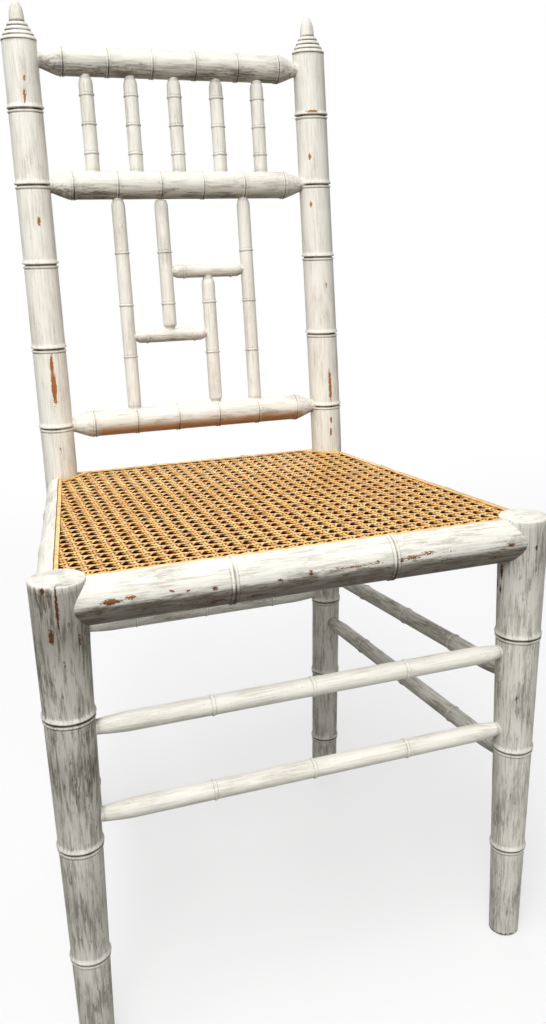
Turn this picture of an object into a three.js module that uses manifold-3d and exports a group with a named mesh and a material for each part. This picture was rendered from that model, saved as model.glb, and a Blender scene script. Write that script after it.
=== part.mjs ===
// A painted side chair turned to look like bamboo, with a cane seat.
// Millimetres, +Z up, the chair faces -Y. The origin is on the floor, under the middle of the chair's box.
import * as THREE from "three";
import { mergeVertices } from "three/addons/utils/BufferGeometryUtils.js";
import Module from "manifold-3d";

const wasm = await Module();
wasm.setup();

// Plan and stance
const FRONT_LEG_SPACING = 408; // between the front legs' axes
const REAR_POST_SPACING = 315; // between the back posts' axes
const SEAT_DEPTH = 341; // from the front legs' axes to the posts' axes at the seat
const SEAT_HEIGHT = 432; // top of the cane binder above the floor
const BACK_LEAN_DEG = 5.9; // the posts lean back above the seat
const REAR_LEG_RAKE_DEG = 2.6; // and kick back below it
const POST_BEND_LENGTH = 25; // over which the post bends at the seat

// Heights of the back, each from the piece below it
const LOWER_RAIL_ABOVE_SEAT = 53;
const MIDDLE_RAIL_ABOVE_LOWER = 249.5;
const TOP_RAIL_ABOVE_MIDDLE = 122.5;
const FINIAL_BASE_ABOVE_TOP_RAIL = 17;

// Back posts
const POST_RADIUS = 17.5;
const POST_FOOT_RADIUS = 16;
const POST_NODES_BELOW_SEAT = [95, 195, 295];
const POST_FOOT_NODE_HEIGHT = 40;
const POST_NODES_ABOVE_LOWER_RAIL = [0, 83.5, 170];
const POST_NODES_ABOVE_MIDDLE_RAIL = [0, 74];
const FINIAL_BEADS = 3;
const FINIAL_BEAD_HEIGHT = 6;
const FINIAL_BEAD_LIP = 1;
const FINIAL_BULLET_RADIUS = 7.8;
const FINIAL_BULLET_LENGTH = 20;

// Front legs
const LEG_TOP_RADIUS = 22;
const LEG_FOOT_RADIUS = 14.3;
const LEG_TOP_ABOVE_SEAT = 1;
const LEG_TOP_CHAMFER = 1.5;
const LEG_TOP_NODE_DROP = 111.5;
const LEG_MIDDLE_NODE_HEIGHT = 205;
const LEG_FOOT_NODE_HEIGHT = 98;

// A bamboo node is a pair of lips with a groove between them, or a single lip on the finer pieces
const POST_NODE = { half: 5.5, lip: 1.4, groove: 1 };
const SEAT_NODE = { half: 5, lip: 1, groove: 0.8 };
const RAIL_NODE = { half: 4, lip: 0.9, groove: 0 };
const SPINDLE_NODE = { half: 3, lip: 0.9, groove: 0 };

// Back rails, gallery spindles and fret
const BACK_RAIL_RADIUS = 14.2;
const BACK_RAIL_TAPER = 17;
const BACK_RAIL_TENON = { radius: 7.2, depth: 11 };
const BACK_RAIL_NODES = 6;
const SPINDLE_RADIUS = 7.3;
const SPINDLE_TAPER = 6;
const SPINDLE_TENON = { radius: 5.2, depth: 8 };
const GALLERY_SPINDLES = 5;
const GALLERY_NODES = 3;
const GALLERY_NODE_INSET = 17; // from the spindle's shoulder to its first node
const FRET_SPINDLES = 4;
const FRET_NODES = 3;
const FRET_NODE_PITCH = 55;
const FRET_BAR_OFFSET = 34; // of each cross bar above or below the fret's middle
const FRET_BAR_NODES = 2;
const FRET_BAR_NODE_INSET = 12.4;
const FRET_BAR_TENON = { radius: 4, depth: 4 };

// Seat rails
const FRONT_RAIL_RADIUS = 20;
const SIDE_RAIL_FRONT_RADIUS = 19;
const SIDE_RAIL_REAR_RADIUS = 15.5;
const REAR_RAIL_RADIUS = 15.5;
const SEAT_RAIL_ABOVE_SEAT = 0.8; // the rails' tops stand a little over the binder
const SEAT_RAIL_TENON = { radius: 7.5, depth: 9 };
const SEAT_RAIL_NODES = 2;
const FRONT_RAIL_NODE_PITCH = 140;
const SIDE_RAIL_NODE_PITCH = 115;
const REAR_RAIL_NODE_PITCH = 105;

// Stretchers, by how far each axis lies below the seat
const FRONT_STRETCHER_DROPS = { upper: 127, lower: 205.5 };
const SIDE_STRETCHER_DROPS = { upper: { front: 157, rear: 157 }, lower: { front: 242, rear: 221 } };
const REAR_STRETCHER_DROP = 185;
const STRETCHER_RADIUS = 8.2;
const STRETCHER_TAPER = 24;
const STRETCHER_TENON = { radius: 6, depth: 8 };
const STRETCHER_NODES = 3;
const FRONT_STRETCHER_NODE_INSET = 94;
const SIDE_STRETCHER_NODE_INSET = 72;
const REAR_STRETCHER_NODE_INSET = 54;

// Cane seat: a woven panel in a rebate, edged by a flat binder
const CANE_EDGE_OUT = 3; // the cane's edge lies this far outside the rails' axes
const CANE_THICKNESS = 2;
const CANE_GAP_PITCH = 34;
const CANE_GAP_WIDTH = 20;
const CANE_GAP_MARGIN = 14; // from the binder's inner edge to the middle of a gap
const CANE_RIDGE_WIDTH = 5;
const CANE_RIDGE_HEIGHT = 0.6;
const BINDER_WIDTH = 4.2;
const BINDER_THICKNESS = 1.2;

// Fits and facets
const JOINT_GAP = 0.3;
const POST_SIDES = 12;
const CLEARANCE_SIDES = 24;
const RAIL_SIDES = 12;
const SPINDLE_SIDES = 8;
const SEAT_TENON_SIDES = 8;
const CANE_GAP_SIDES = 8;
const BEND_STATIONS = 5;
const BULLET_STEPS = 4;

const UP = new THREE.Vector3(0, 0, 1);
const UNIT_SCALE = new THREE.Vector3(1, 1, 1);
const SIDES = { left: -1, right: 1 };
const { degToRad, lerp } = THREE.MathUtils;

const whitePaint = { color: 0xe9e6da, roughness: 0.6, metalness: 0 };
const shadedPaint = { color: 0xcfccc0, roughness: 0.65, metalness: 0 };
const caneSkin = { color: 0xd9a55c, roughness: 0.5, metalness: 0 };

// Heights worked out from the driving dimensions
const RAIL_HEIGHTS = {};
RAIL_HEIGHTS.lower = SEAT_HEIGHT + LOWER_RAIL_ABOVE_SEAT;
RAIL_HEIGHTS.middle = RAIL_HEIGHTS.lower + MIDDLE_RAIL_ABOVE_LOWER;
RAIL_HEIGHTS.top = RAIL_HEIGHTS.middle + TOP_RAIL_ABOVE_MIDDLE;
const FINIAL_BASE = RAIL_HEIGHTS.top + FINIAL_BASE_ABOVE_TOP_RAIL;
const LEG_HEIGHT = SEAT_HEIGHT + LEG_TOP_ABOVE_SEAT;
const RAIL_TOP = SEAT_HEIGHT + SEAT_RAIL_ABOVE_SEAT;
const BINDER_BOTTOM = SEAT_HEIGHT - BINDER_THICKNESS;
const CANE_TOP = BINDER_BOTTOM - JOINT_GAP;
const CANE_BOTTOM = CANE_TOP - CANE_THICKNESS;
const REBATE_FLOOR = CANE_BOTTOM - JOINT_GAP;

// Solids

/** A closed three.js geometry as a manifold solid. */
function solidOf(geometry) {
  const bare = geometry.clone();
  bare.deleteAttribute("normal");
  bare.deleteAttribute("uv");
  const merged = mergeVertices(bare, 1e-4);
  const corners = merged.index.array;
  const faces = [];
  for (let i = 0; i < corners.length; i += 3) {
    const [a, b, c] = corners.slice(i, i + 3);
    if (a !== b && b !== c && c !== a) faces.push(a, b, c);
  }
  const mesh = new wasm.Mesh({
    numProp: 3,
    vertProperties: new Float32Array(merged.attributes.position.array),
    triVerts: new Uint32Array(faces),
  });
  return new wasm.Manifold(mesh);
}

/** A manifold solid as a flat shaded three.js geometry. */
function geometryOf(solid) {
  const mesh = solid.getMesh();
  const geometry = new THREE.BufferGeometry();
  geometry.setAttribute("position", new THREE.BufferAttribute(mesh.vertProperties, mesh.numProp));
  geometry.setIndex(new THREE.BufferAttribute(mesh.triVerts, 1));
  const facets = geometry.toNonIndexed();
  facets.computeVertexNormals();
  return facets;
}

/** A turning about +Z, from outline points [radius, height] that run upwards. */
function turning(outline, sides) {
  const points = outline.map(([radius, height]) => new THREE.Vector2(radius, height));
  return new THREE.LatheGeometry(points, sides).rotateX(Math.PI / 2);
}

/** The placement that puts a turning's +Z on the line from one point to another. */
function placementBetween(from, to) {
  const direction = to.clone().sub(from).normalize();
  const turn = new THREE.Quaternion().setFromUnitVectors(UP, direction);
  return new THREE.Matrix4().compose(from, turn, UNIT_SCALE);
}

/** A cylinder along the line from one point towards another, between two distances from the first. */
function rod(from, to, start, end, radius, sides) {
  const outline = [[0, start], [radius, start], [radius, end], [0, end]];
  return solidOf(turning(outline, sides).applyMatrix4(placementBetween(from, to)));
}

/** A plan outline raised between two heights. */
function prism(outline, bottom, top) {
  const shape = new THREE.Shape(outline);
  const geometry = new THREE.ExtrudeGeometry(shape, { depth: top - bottom, bevelEnabled: false });
  return solidOf(geometry.translate(0, 0, bottom));
}

/** A solid less each cutter in a list. */
function cut(solid, cutters) {
  return cutters.reduce((left, cutter) => left.subtract(cutter), solid);
}

// Turned outlines

/** Outline points of a bamboo node in the middle of a height. */
function nodeOutline(at, radius, { half, lip, groove }) {
  if (groove === 0) return [[radius, at - half], [radius + lip, at], [radius, at + half]];
  const crest = half / 2;
  return [
    [radius, at - half],
    [radius + lip, at - crest],
    [radius - groove, at],
    [radius + lip, at + crest],
    [radius, at + half],
  ];
}

/** Places at a pitch about a middle. */
function spread(count, pitch, middle = 0) {
  return Array.from({ length: count }, (_, i) => middle + (i - (count - 1) / 2) * pitch);
}

/** Evenly spaced places between two ends, kept some way in from both. */
function spreadBetween(count, [start, end], inset) {
  return spread(count, (end - start - 2 * inset) / (count - 1), (start + end) / 2);
}

/** Where a post's axis lies in Y at a height: a straight lean and rake joined by a bend at the seat. */
function postY(height) {
  const lean = Math.tan(degToRad(BACK_LEAN_DEG));
  const rake = Math.tan(degToRad(REAR_LEG_RAKE_DEG));
  const over = height - SEAT_HEIGHT;
  const bend = Math.hypot(over, POST_BEND_LENGTH) - POST_BEND_LENGTH;
  return SEAT_DEPTH + ((lean - rake) / 2) * over + ((lean + rake) / 2) * bend;
}

const backPoint = (x, height) => new THREE.Vector3(x, postY(height), height);
const postPoint = (side, height) => backPoint((side * REAR_POST_SPACING) / 2, height);
const legPoint = (side, height) => new THREE.Vector3((side * FRONT_LEG_SPACING) / 2, 0, height);
const legRadius = (height) => lerp(LEG_FOOT_RADIUS, LEG_TOP_RADIUS, height / LEG_HEIGHT);
const postRadius = (height) => lerp(POST_FOOT_RADIUS, POST_RADIUS, Math.min(1, height / SEAT_HEIGHT));

// Joinery: each member runs from one carrier's axis to another's, and its tenons sit in sockets there

const sockets = new Map();

/** Adds a socket to the named carrier. */
function addSocket(carrier, cutter) {
  if (!sockets.has(carrier)) sockets.set(carrier, []);
  sockets.get(carrier).push(cutter);
}

/** A turned member with tapered, tenoned ends, and its sockets in both carriers. */
function member({ name, from, to, carriers, reach, lip, form }) {
  const length = from.distanceTo(to);
  const { radius, taper, tenon, sides, node, nodes } = form;
  const shoulders = [reach[0] + lip + JOINT_GAP, length - reach[1] - lip - JOINT_GAP];
  const ends = [reach[0] - tenon.depth, length - reach[1] + tenon.depth];
  const outline = [
    [0, ends[0]],
    [tenon.radius, ends[0]],
    [tenon.radius, shoulders[0]],
    [radius, shoulders[0] + taper],
    ...nodes(shoulders).flatMap((at) => nodeOutline(at, radius, node)),
    [radius, shoulders[1] - taper],
    [tenon.radius, shoulders[1]],
    [tenon.radius, ends[1]],
    [0, ends[1]],
  ];
  const bore = tenon.radius + JOINT_GAP;
  addSocket(carriers[0], rod(from, to, ends[0] - JOINT_GAP, shoulders[0], bore, sides));
  addSocket(carriers[1], rod(from, to, shoulders[1], ends[1] + JOINT_GAP, bore, sides));
  const placement = placementBetween(from, to);
  return { name, placement, solid: solidOf(turning(outline, sides).applyMatrix4(placement)) };
}

// Posts and legs

/** Outline points of a finial: beads that step in, then a bullet. */
function finialOutline() {
  const beadRadius = (index) => lerp(POST_RADIUS, FINIAL_BULLET_RADIUS, index / FINIAL_BEADS);
  const beads = Array.from({ length: FINIAL_BEADS }, (_, i) => {
    const bottom = FINIAL_BASE + i * FINIAL_BEAD_HEIGHT;
    return [
      [beadRadius(i) + FINIAL_BEAD_LIP, bottom + FINIAL_BEAD_HEIGHT / 3],
      [beadRadius(i + 1), bottom + FINIAL_BEAD_HEIGHT],
    ];
  });
  const bulletBase = FINIAL_BASE + FINIAL_BEADS * FINIAL_BEAD_HEIGHT;
  const bullet = Array.from({ length: BULLET_STEPS }, (_, i) => {
    const along = (i + 1) / BULLET_STEPS;
    return [FINIAL_BULLET_RADIUS * (1 - along ** 2), bulletBase + FINIAL_BULLET_LENGTH * along];
  });
  return [[POST_RADIUS, FINIAL_BASE], ...beads.flat(), ...bullet];
}

/** A back post: turned straight, with its finial, then bent to its lean and rake. */
function backPost(sideName) {
  const nodes = [
    POST_FOOT_NODE_HEIGHT,
    ...POST_NODES_BELOW_SEAT.map((drop) => SEAT_HEIGHT - drop),
    ...POST_NODES_ABOVE_LOWER_RAIL.map((rise) => RAIL_HEIGHTS.lower + rise),
    ...POST_NODES_ABOVE_MIDDLE_RAIL.map((rise) => RAIL_HEIGHTS.middle + rise),
  ];
  const bend = spread(BEND_STATIONS, POST_BEND_LENGTH, SEAT_HEIGHT).map((at) => [postRadius(at), at]);
  const shaft = [...nodes.flatMap((at) => nodeOutline(at, postRadius(at), POST_NODE)), ...bend];
  shaft.sort((a, b) => a[1] - b[1]);
  const outline = [[0, 0], [POST_FOOT_RADIUS, 0], ...shaft, ...finialOutline()];
  const geometry = turning(outline, POST_SIDES);
  const places = geometry.attributes.position;
  for (let i = 0; i < places.count; i++) {
    places.setY(i, places.getY(i) + postY(places.getZ(i)) - SEAT_DEPTH);
  }
  const placement = new THREE.Matrix4().setPosition((SIDES[sideName] * REAR_POST_SPACING) / 2, SEAT_DEPTH, 0);
  return { name: `back_post_${sideName}`, placement, solid: solidOf(geometry.applyMatrix4(placement)) };
}

/** A front leg: a plain taper with nodes and a flat chamfered top. */
function frontLeg(sideName) {
  const nodes = [LEG_FOOT_NODE_HEIGHT, LEG_MIDDLE_NODE_HEIGHT, SEAT_HEIGHT - LEG_TOP_NODE_DROP];
  const outline = [
    [0, 0],
    [LEG_FOOT_RADIUS, 0],
    ...nodes.flatMap((at) => nodeOutline(at, legRadius(at), POST_NODE)),
    [LEG_TOP_RADIUS, LEG_HEIGHT - LEG_TOP_CHAMFER],
    [LEG_TOP_RADIUS - LEG_TOP_CHAMFER, LEG_HEIGHT],
    [0, LEG_HEIGHT],
  ];
  const placement = new THREE.Matrix4().setPosition(legPoint(SIDES[sideName], 0));
  const solid = solidOf(turning(outline, POST_SIDES).applyMatrix4(placement));
  return { name: `front_leg_${sideName}`, placement, solid };
}

// Back: three rails, a gallery of spindles and a fret

const BACK_RAIL_NODE_INSET = BACK_RAIL_TAPER + RAIL_NODE.half;
const BACK_SHOULDER = POST_RADIUS + POST_NODE.lip + JOINT_GAP;
const BACK_NODE_SPAN = REAR_POST_SPACING - 2 * (BACK_SHOULDER + BACK_RAIL_NODE_INSET);
const BACK_NODE_PITCH = BACK_NODE_SPAN / (BACK_RAIL_NODES - 1);

/** One of the three back rails, between the posts. */
function backRail(level) {
  const height = RAIL_HEIGHTS[level];
  return member({
    name: `${level}_rail`,
    from: postPoint(SIDES.left, height),
    to: postPoint(SIDES.right, height),
    carriers: ["back_post_left", "back_post_right"],
    reach: [POST_RADIUS, POST_RADIUS],
    lip: POST_NODE.lip,
    form: {
      radius: BACK_RAIL_RADIUS,
      taper: BACK_RAIL_TAPER,
      tenon: BACK_RAIL_TENON,
      sides: RAIL_SIDES,
      node: RAIL_NODE,
      nodes: (shoulders) => spreadBetween(BACK_RAIL_NODES, shoulders, BACK_RAIL_NODE_INSET),
    },
  });
}

/** The form of a spindle, given where its nodes lie between its shoulders. */
const spindleForm = (nodes) => ({
  radius: SPINDLE_RADIUS,
  taper: SPINDLE_TAPER,
  tenon: SPINDLE_TENON,
  sides: SPINDLE_SIDES,
  node: SPINDLE_NODE,
  nodes,
});

/** A gallery spindle between the middle and top rails. */
function gallerySpindle(x, index) {
  return member({
    name: `gallery_spindle_${index + 1}`,
    from: backPoint(x, RAIL_HEIGHTS.middle),
    to: backPoint(x, RAIL_HEIGHTS.top),
    carriers: ["middle_rail", "top_rail"],
    reach: [BACK_RAIL_RADIUS, BACK_RAIL_RADIUS],
    lip: RAIL_NODE.lip,
    form: spindleForm((shoulders) => spreadBetween(GALLERY_NODES, shoulders, GALLERY_NODE_INSET)),
  });
}

const FRET_MIDDLE = (RAIL_HEIGHTS.middle + RAIL_HEIGHTS.lower) / 2;
const FRET_X = spread(FRET_SPINDLES, BACK_NODE_PITCH);
const FRET_BARS = {
  upper: { height: FRET_MIDDLE + FRET_BAR_OFFSET, between: [1, 3] },
  lower: { height: FRET_MIDDLE - FRET_BAR_OFFSET, between: [0, 2] },
};

/** A fret spindle from one carrier up to another, with the fret's common node heights. */
function fretSpindle(index, bottom, top) {
  const from = backPoint(FRET_X[index], bottom.height);
  const to = backPoint(FRET_X[index], top.height);
  const rise = from.distanceTo(to) / (top.height - bottom.height);
  const clear = FRET_NODE_PITCH / 2;
  const heights = spread(FRET_NODES, FRET_NODE_PITCH, FRET_MIDDLE).filter(
    (at) => at - bottom.height > clear && top.height - at > clear,
  );
  return member({
    name: `fret_spindle_${index + 1}`,
    from,
    to,
    carriers: [bottom.carrier, top.carrier],
    reach: [bottom.reach, top.reach],
    lip: RAIL_NODE.lip,
    form: spindleForm(() => heights.map((at) => (at - bottom.height) * rise)),
  });
}

/** A fret cross bar between two of the fret spindles. */
function fretBar(level) {
  const { height, between } = FRET_BARS[level];
  const [first, last] = between;
  const nodes = (shoulders) => spreadBetween(FRET_BAR_NODES, shoulders, FRET_BAR_NODE_INSET);
  return member({
    name: `fret_bar_${level}`,
    from: backPoint(FRET_X[first], height),
    to: backPoint(FRET_X[last], height),
    carriers: [`fret_spindle_${first + 1}`, `fret_spindle_${last + 1}`],
    reach: [SPINDLE_RADIUS, SPINDLE_RADIUS],
    lip: 0,
    form: { ...spindleForm(nodes), tenon: FRET_BAR_TENON },
  });
}

/** The whole fret: two outer spindles, two inner ones that stop on the cross bars, and the bars. */
function fret() {
  const onRail = (level) => ({
    carrier: `${level}_rail`,
    height: RAIL_HEIGHTS[level],
    reach: BACK_RAIL_RADIUS,
  });
  const onBar = (level) => ({
    carrier: `fret_bar_${level}`,
    height: FRET_BARS[level].height,
    reach: SPINDLE_RADIUS,
  });
  return [
    fretBar("upper"),
    fretBar("lower"),
    fretSpindle(0, onRail("lower"), onRail("middle")),
    fretSpindle(1, onBar("lower"), onRail("middle")),
    fretSpindle(2, onRail("lower"), onBar("upper")),
    fretSpindle(3, onRail("lower"), onRail("middle")),
  ];
}

// Seat frame: four round rails coped to the legs and posts, with a rebate for the cane

const frontCorner = (side, radius) => legPoint(side, RAIL_TOP - radius);
const rearCorner = (side, radius) => postPoint(side, SEAT_HEIGHT).setZ(RAIL_TOP - radius);

/** Where a side rail runs and how it tapers from the front leg to the back post. */
function sideRailForm(sideName) {
  return {
    from: frontCorner(SIDES[sideName], SIDE_RAIL_FRONT_RADIUS),
    to: rearCorner(SIDES[sideName], SIDE_RAIL_REAR_RADIUS),
    radii: [SIDE_RAIL_FRONT_RADIUS, SIDE_RAIL_REAR_RADIUS],
    carriers: [`front_leg_${sideName}`, `back_post_${sideName}`],
    pitch: SIDE_RAIL_NODE_PITCH,
  };
}

const SEAT_RAILS = {
  front: {
    from: frontCorner(SIDES.left, FRONT_RAIL_RADIUS),
    to: frontCorner(SIDES.right, FRONT_RAIL_RADIUS),
    radii: [FRONT_RAIL_RADIUS, FRONT_RAIL_RADIUS],
    carriers: ["front_leg_left", "front_leg_right"],
    pitch: FRONT_RAIL_NODE_PITCH,
  },
  left: sideRailForm("left"),
  right: sideRailForm("right"),
  rear: {
    from: rearCorner(SIDES.left, REAR_RAIL_RADIUS),
    to: rearCorner(SIDES.right, REAR_RAIL_RADIUS),
    radii: [REAR_RAIL_RADIUS, REAR_RAIL_RADIUS],
    carriers: ["back_post_left", "back_post_right"],
    pitch: REAR_RAIL_NODE_PITCH,
  },
};

/** A seat rail's body as turned from axis to axis, with some allowance all round. */
function seatRailBody({ from, to, radii, pitch }, allowance) {
  const length = from.distanceTo(to);
  const radiusAt = (at) => lerp(radii[0], radii[1], at / length) + allowance;
  const nodes = spread(SEAT_RAIL_NODES, pitch, length / 2);
  const outline = [
    [0, 0],
    [radiusAt(0), 0],
    ...nodes.flatMap((at) => nodeOutline(at, radiusAt(at), SEAT_NODE)),
    [radiusAt(length), length],
    [0, length],
  ];
  return solidOf(turning(outline, POST_SIDES).applyMatrix4(placementBetween(from, to)));
}

const carrierRadius = (carrier) => (carrier.startsWith("front_leg") ? LEG_TOP_RADIUS : POST_RADIUS);

/** The upright cylinder that a carrier fills at the seat, with some allowance all round. */
function carrierClearance(carrier, allowance) {
  const side = SIDES[carrier.split("_").pop()];
  const head = carrier.startsWith("front_leg") ? legPoint(side, SEAT_HEIGHT) : postPoint(side, SEAT_HEIGHT);
  const foot = head.clone().setZ(0);
  return rod(foot, head, 0, 2 * SEAT_HEIGHT, carrierRadius(carrier) + allowance, CLEARANCE_SIDES);
}

/** The plan outline of the cane, some way outside its own edge. */
function caneOutline(allowance) {
  const out = CANE_EDGE_OUT + allowance;
  const front = legPoint(SIDES.right, 0);
  const rear = postPoint(SIDES.right, SEAT_HEIGHT);
  const along = new THREE.Vector2(rear.x - front.x, rear.y - front.y).normalize();
  const edge = new THREE.Vector2(front.x + along.y * out, front.y - along.x * out);
  const xAt = (y) => edge.x + (along.x / along.y) * (y - edge.y);
  const yFront = -out;
  const yRear = SEAT_DEPTH + out;
  return [
    new THREE.Vector2(-xAt(yFront), yFront),
    new THREE.Vector2(xAt(yFront), yFront),
    new THREE.Vector2(xAt(yRear), yRear),
    new THREE.Vector2(-xAt(yRear), yRear),
  ];
}

/** The tenons at both ends of a seat rail, with some allowance all round, to join on or to cut. */
function seatRailTenons({ from, to, carriers }, allowance) {
  const length = from.distanceTo(to);
  const radius = SEAT_RAIL_TENON.radius + allowance;
  const depth = SEAT_RAIL_TENON.depth + allowance;
  const [first, last] = carriers.map(carrierRadius);
  return [
    rod(from, to, first - depth, first + depth, radius, SEAT_TENON_SIDES),
    rod(from, to, length - last - depth, length - last + depth, radius, SEAT_TENON_SIDES),
  ];
}

/** The four seat rails: coped, tenoned, rebated, and each kept clear of those fitted before it. */
function seatRails() {
  const rebate = prism(caneOutline(JOINT_GAP), REBATE_FLOOR, RAIL_TOP + LEG_HEIGHT);
  const fitted = [];
  return Object.entries(SEAT_RAILS).map(([place, rail]) => {
    const { from, to, carriers } = rail;
    const copes = carriers.map((carrier) => carrierClearance(carrier, JOINT_GAP));
    const uprightsHere = carriers.map((carrier) => carrierClearance(carrier, 0));
    const [firstTenon, lastTenon] = seatRailTenons(rail, 0);
    const tenoned = cut(seatRailBody(rail, 0), copes).add(firstTenon).add(lastTenon);
    const solid = cut(tenoned, [...fitted, rebate]);
    const bores = seatRailTenons(rail, JOINT_GAP);
    fitted.push(cut(seatRailBody(rail, JOINT_GAP), uprightsHere), ...bores);
    carriers.forEach((carrier, i) => addSocket(carrier, bores[i]));
    return { name: `seat_rail_${place}`, placement: placementBetween(from, to), solid };
  });
}

// Stretchers

/** A stretcher between two carriers. */
function stretcher({ name, from, to, carriers, reach, inset }) {
  return member({
    name,
    from,
    to,
    carriers,
    reach,
    lip: POST_NODE.lip,
    form: {
      radius: STRETCHER_RADIUS,
      taper: STRETCHER_TAPER,
      tenon: STRETCHER_TENON,
      sides: SPINDLE_SIDES,
      node: SPINDLE_NODE,
      nodes: (shoulders) => spreadBetween(STRETCHER_NODES, shoulders, inset),
    },
  });
}

/** All seven stretchers. */
function stretchers() {
  const across = Object.entries(FRONT_STRETCHER_DROPS).map(([level, drop]) => {
    const height = SEAT_HEIGHT - drop;
    return stretcher({
      name: `front_stretcher_${level}`,
      from: legPoint(SIDES.left, height),
      to: legPoint(SIDES.right, height),
      carriers: ["front_leg_left", "front_leg_right"],
      reach: [legRadius(height), legRadius(height)],
      inset: FRONT_STRETCHER_NODE_INSET,
    });
  });
  const sides = Object.entries(SIDES).flatMap(([sideName, side]) =>
    Object.entries(SIDE_STRETCHER_DROPS).map(([level, drop]) => {
      const front = SEAT_HEIGHT - drop.front;
      const rear = SEAT_HEIGHT - drop.rear;
      return stretcher({
        name: `side_stretcher_${sideName}_${level}`,
        from: legPoint(side, front),
        to: postPoint(side, rear),
        carriers: [`front_leg_${sideName}`, `back_post_${sideName}`],
        reach: [legRadius(front), postRadius(rear)],
        inset: SIDE_STRETCHER_NODE_INSET,
      });
    }),
  );
  const rearHeight = SEAT_HEIGHT - REAR_STRETCHER_DROP;
  const behind = stretcher({
    name: "rear_stretcher",
    from: postPoint(SIDES.left, rearHeight),
    to: postPoint(SIDES.right, rearHeight),
    carriers: ["back_post_left", "back_post_right"],
    reach: [postRadius(rearHeight), postRadius(rearHeight)],
    inset: REAR_STRETCHER_NODE_INSET,
  });
  return [...across, ...sides, behind];
}

// Cane

/** Plan outline of a flat strip to the left of the line from start to end, with some allowance all round. */
function stripOutline({ start, end }, allowance) {
  const along = end.clone().sub(start).normalize();
  const inward = new THREE.Vector2(-along.y, along.x);
  const corner = (point, ahead, across) =>
    point.clone().addScaledVector(along, ahead).addScaledVector(inward, across);
  const width = BINDER_WIDTH + allowance;
  return [
    corner(start, -allowance, -allowance),
    corner(end, allowance, -allowance),
    corner(end, allowance, width),
    corner(start, -allowance, width),
  ];
}

/** The lines that the binder's four long strips lie against, in the order they are laid. */
function binderEdges() {
  const corners = caneOutline(0);
  return ["front", "right", "rear", "left"].map((place, i) => ({
    name: `cane_binder_${place}`,
    start: corners[i],
    end: corners[(i + 1) % corners.length],
  }));
}

/** The lines across the rear corners that touch the posts in front. */
function binderCorners() {
  return Object.entries(SIDES).map(([sideName, side]) => {
    const post = new THREE.Vector2((side * REAR_POST_SPACING) / 2, SEAT_DEPTH);
    const inward = new THREE.Vector2(-side, -1).normalize();
    const touch = post.addScaledVector(inward, POST_RADIUS + JOINT_GAP);
    const run = new THREE.Vector2(inward.y, -inward.x).multiplyScalar(2 * POST_RADIUS);
    return {
      name: `cane_binder_rear_${sideName}_corner`,
      start: touch.clone().sub(run),
      end: touch.clone().add(run),
    };
  });
}

/** A plan ring that covers everything outside the binder's inner edge. */
function outsideBinder() {
  const outer = caneOutline(SEAT_DEPTH);
  const inner = caneOutline(-BINDER_WIDTH - JOINT_GAP);
  return [...outer, outer[0], inner[0], ...inner.reverse()];
}

/** The binder: a strip on each side, and one across each rear corner in front of the post. */
function binder(clearances) {
  const laid = [];
  const outside = prism(outsideBinder(), CANE_BOTTOM, RAIL_TOP);
  const lay = (strip, cutters) => {
    const bar = prism(stripOutline(strip, 0), BINDER_BOTTOM, SEAT_HEIGHT);
    const solid = cut(bar, [...cutters, ...laid]);
    laid.push(prism(stripOutline(strip, JOINT_GAP), BINDER_BOTTOM, SEAT_HEIGHT));
    return { name: strip.name, placement: new THREE.Matrix4(), solid };
  };
  return [
    ...binderEdges().map((strip) => lay(strip, clearances)),
    ...binderCorners().map((strip) => lay(strip, [outside])),
  ];
}

/** The gaps of the weave: a grid of eight sided holes that follows the seat's taper. */
function caneGaps(columns) {
  const field = caneOutline(-BINDER_WIDTH - CANE_GAP_MARGIN);
  const [, right, rearRight] = field;
  const taper = (rearRight.x - right.x) / (rearRight.y - right.y);
  const rows = Math.floor((rearRight.y - right.y) / CANE_GAP_PITCH) + 1;
  const radius = CANE_GAP_WIDTH / 2 / Math.cos(Math.PI / CANE_GAP_SIDES);
  const turn = Math.PI / CANE_GAP_SIDES;
  return spread(rows, CANE_GAP_PITCH, (right.y + rearRight.y) / 2).flatMap((y) => {
    const reach = right.x + taper * (y - right.y);
    return columns
      .filter((x) => Math.abs(x) <= reach)
      .map((x) => {
        const height = 3 * CANE_THICKNESS;
        const hole = new THREE.CylinderGeometry(radius, radius, height, CANE_GAP_SIDES, 1, false, turn);
        return solidOf(hole.rotateX(Math.PI / 2).translate(x, y, CANE_TOP - CANE_THICKNESS / 2));
      });
  });
}

/** The ridges of the weave, front to back between the columns of gaps. */
function caneRidges(columns) {
  const corners = binderCorners().map((strip) => prism(stripOutline(strip, JOINT_GAP), CANE_TOP, SEAT_HEIGHT));
  const inside = cut(prism(caneOutline(-BINDER_WIDTH - JOINT_GAP), CANE_BOTTOM, SEAT_HEIGHT), corners);
  return spread(columns.length + 1, CANE_GAP_PITCH).map((x) => {
    const ridge = new THREE.BoxGeometry(CANE_RIDGE_WIDTH, 2 * SEAT_DEPTH, CANE_THICKNESS);
    const middle = CANE_TOP + CANE_RIDGE_HEIGHT - CANE_THICKNESS / 2;
    return solidOf(ridge.translate(x, SEAT_DEPTH / 2, middle)).intersect(inside);
  });
}

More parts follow.
